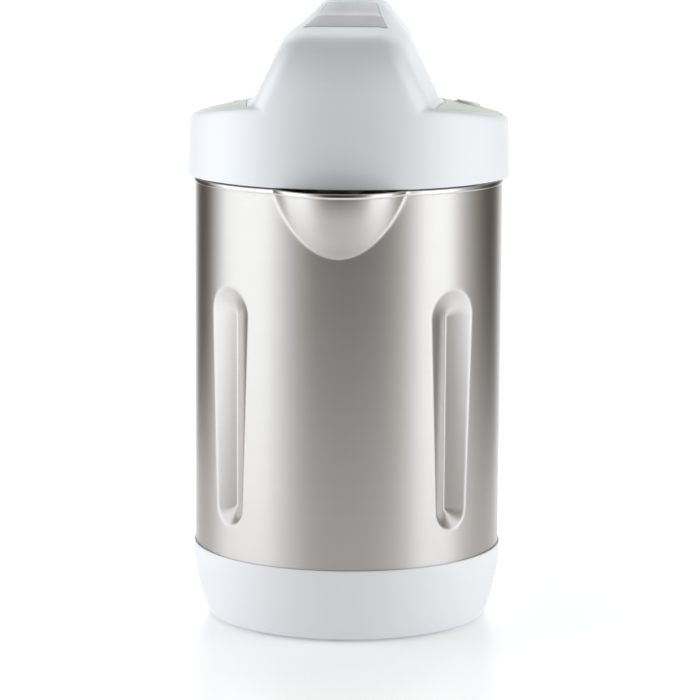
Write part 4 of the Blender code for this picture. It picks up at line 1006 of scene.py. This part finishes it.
FLOOR_R = 650.0
FLOOR_FADE = (0.55, 0.98)            # where it begins and ends to fade, as shares of its radius
# The floor's emission: lowest round the jug as a painted contact shadow, and rising outwards where the
# floor glows white.
FLOOR_GLOW_PAINTED_SHADE = [(78, 0.21), (120, 0.27), (175, 0.34), (300, 0.5), (420, 0.6)]    # by radius


def make_floor():
    """A pale round table top that fades out towards its rim; its emission is lowest round the jug, a
    painted soft contact shade.
    """
    f = Finish("floor_look", (0.90, 0.90, 0.90), 0.30)
    f.vary_colour(f.noise(3, 2), 0.004)
    f.vary_roughness(f.noise(5, 2), 0.27, 0.33)
    f.set("Emission Color", (1, 1, 1, 1))
    verts, faces = rings_mesh([circle(FLOOR_R * k / 12, 0.0, 96) for k in range(13)], False)
    new_object("floor", verts, faces, f.mat)
    place = f.nodes.new("ShaderNodeTexCoord")
    distance = f.nodes.new("ShaderNodeVectorMath")
    distance.operation = "LENGTH"
    f.links.new(place.outputs["Object"], distance.inputs[0])
    start, end = (share * FLOOR_R * MM for share in FLOOR_FADE)
    fade = map_range(f.nodes, f.links, distance.outputs["Value"], start, end, 1.0, 0.0, True)
    f.links.new(fade, f.shader.inputs["Alpha"])
    reach = f.nodes.new("ShaderNodeMath")
    reach.operation = "DIVIDE"
    reach.inputs[1].default_value = FLOOR_R * MM
    f.links.new(distance.outputs["Value"], reach.inputs[0])
    # Emission by distance from the jug: a painted contact shade near it and a glow further out.
    stops = [(r / FLOOR_R, (level, level, level)) for r, level in FLOOR_GLOW_PAINTED_SHADE]
    painted_shade_glow = colour_ramp(f.nodes, f.links, reach.outputs[0], stops)
    f.links.new(painted_shade_glow, f.shader.inputs["Emission Strength"])


def softbox(name, azimuth, distance, height, size, power, mirrored=True):
    """An area light that faces the jug; azimuth 0 is in front of the spout."""
    a = math.radians(azimuth)
    light = bpy.data.lights.new(name, "AREA")
    light.shape = "RECTANGLE"
    light.size, light.size_y = size
    light.energy = power
    lamp = bpy.data.objects.new(name, light)
    lamp.location = (distance * math.sin(a), -distance * math.cos(a), height)
    aim = Vector((0, 0, 0.15)) - lamp.location
    lamp.rotation_euler = aim.to_track_quat("-Z", "Y").to_euler()
    lamp.visible_glossy = mirrored
    bpy.context.scene.collection.objects.link(lamp)


# What the steel mirrors, as (azimuth, brightness) with 0 degrees in front: a dim front, a tall soft
# panel on each side, dark gaps behind them, and a bright wall at the back.
ROOM_WALLS = [(-180, 1.45), (-168, 1.5), (-158, 1.05), (-149, 0.14), (-134, 0.08), (-124, 0.14),
              (-112, 0.8), (-101, 1.6), (-60, 1.72), (-47, 1.0), (-34, 0.42), (-22, 0.1), (0, 0.04),
              (22, 0.08), (38, 0.28), (50, 0.75), (61, 1.7), (86, 1.8), (97, 0.82), (109, 0.42),
              (122, 0.16), (138, 0.06), (150, 0.22), (161, 0.95), (172, 1.3), (180, 1.45)]
ROOM_DIM = (1.0, 0.83, 0.67)         # the tint of its darkest parts
ROOM_BRIGHT = (0.965, 1.0, 1.035)    # and of its panels
CEILING = 0.26
CEILING_EDGE = (32, 52)              # the elevations between which the walls turn into the ceiling
BACKDROP = 1.05


def make_world():
    """Plain white behind the object, and a studio with soft panels for the object to mirror."""
    world = bpy.data.worlds.new("studio")
    world.use_nodes = True
    nodes, links = world.node_tree.nodes, world.node_tree.links
    nodes.clear()

    def math_node(operation, first, second):
        node = nodes.new("ShaderNodeMath")
        node.operation = operation
        for socket, value in zip(node.inputs, (first, second)):
            if isinstance(value, float):
                socket.default_value = value
            else:
                links.new(value, socket)
        return node.outputs[0]

    place = nodes.new("ShaderNodeTexCoord")
    axes = nodes.new("ShaderNodeSeparateXYZ")
    links.new(place.outputs["Generated"], axes.inputs["Vector"])
    behind = math_node("MULTIPLY", axes.outputs["Y"], -1.0)
    angle = math_node("ARCTAN2", axes.outputs["X"], behind)
    turn = math_node("ADD", math_node("DIVIDE", angle, TURN), 0.5)
    peak = max(level for _, level in ROOM_WALLS)
    dim, bright = np.array(ROOM_DIM), np.array(ROOM_BRIGHT)
    stops = [((degrees + 180) / 360, (dim + (bright - dim) * min(1.0, level)) * level / peak)
             for degrees, level in ROOM_WALLS]
    walls = colour_ramp(nodes, links, turn, stops)
    wall_top, ceiling_edge = (math.sin(math.radians(a)) for a in CEILING_EDGE)
    upward = map_range(nodes, links, axes.outputs["Z"], wall_top, ceiling_edge, smooth=True)
    room = nodes.new("ShaderNodeMix")
    room.data_type = "RGBA"
    room.inputs["B"].default_value = (CEILING / peak, CEILING / peak, CEILING / peak, 1)
    links.new(upward, room.inputs["Factor"])
    links.new(walls, room.inputs["A"])
    mirrored = nodes.new("ShaderNodeBackground")
    mirrored.inputs["Strength"].default_value = peak
    links.new(room.outputs["Result"], mirrored.inputs["Color"])
    white = nodes.new("ShaderNodeBackground")
    white.inputs["Color"].default_value = (1, 1, 1, 1)
    white.inputs["Strength"].default_value = BACKDROP
    eye = nodes.new("ShaderNodeLightPath")
    mix = nodes.new("ShaderNodeMixShader")
    links.new(eye.outputs["Is Camera Ray"], mix.inputs["Fac"])
    links.new(mirrored.outputs["Background"], mix.inputs[1])
    links.new(white.outputs["Background"], mix.inputs[2])
    out = nodes.new("ShaderNodeOutputWorld")
    links.new(mix.outputs["Shader"], out.inputs["Surface"])
    bpy.context.scene.world = world


def make_lights():
    """One soft lamp above, and two at the sides that light the plastic and don't show in the steel."""
    softbox("softbox_top", 180, 0.75, 1.3, (1.2, 1.2), 0.7)
    softbox("softbox_left", -84, 1.0, 0.30, (0.8, 0.8), 4.2, False)
    softbox("softbox_right", 84, 1.0, 0.30, (0.8, 0.8), 4.4, False)


def make_camera():
    """The photo's view: turned to the spout's right, tilted down and rolled very little."""
    data = bpy.data.cameras.new("camera")
    data.lens = CAMERA_LENS
    data.sensor_width = 36.0
    camera = bpy.data.objects.new("camera", data)
    turn = Matrix.Rotation(CAMERA_AZIMUTH, 3, "Z")
    tilt = Matrix.Rotation(math.pi / 2 - CAMERA_PITCH, 3, "X")
    basis = turn @ tilt @ Matrix.Rotation(CAMERA_ROLL, 3, "Z")
    place = turn @ Vector(CAMERA_AIM) + basis @ Vector((0, 0, CAMERA_DISTANCE))
    camera.matrix_world = Matrix.Translation(place) @ basis.to_4x4()
    bpy.context.scene.collection.objects.link(camera)
    bpy.context.scene.camera = camera


def main():
    bpy.context.scene.view_settings.view_transform = "Standard"
    make_camera()
    mats = make_materials()
    for make in (make_jacket, make_pot, make_base, make_handle, make_head_shell, make_inlays,
                 make_controls, make_cover, make_column, make_blade, make_screws, finish_cad_nodes):
        make(mats)
    make_floor()
    make_world()
    make_lights()


main()
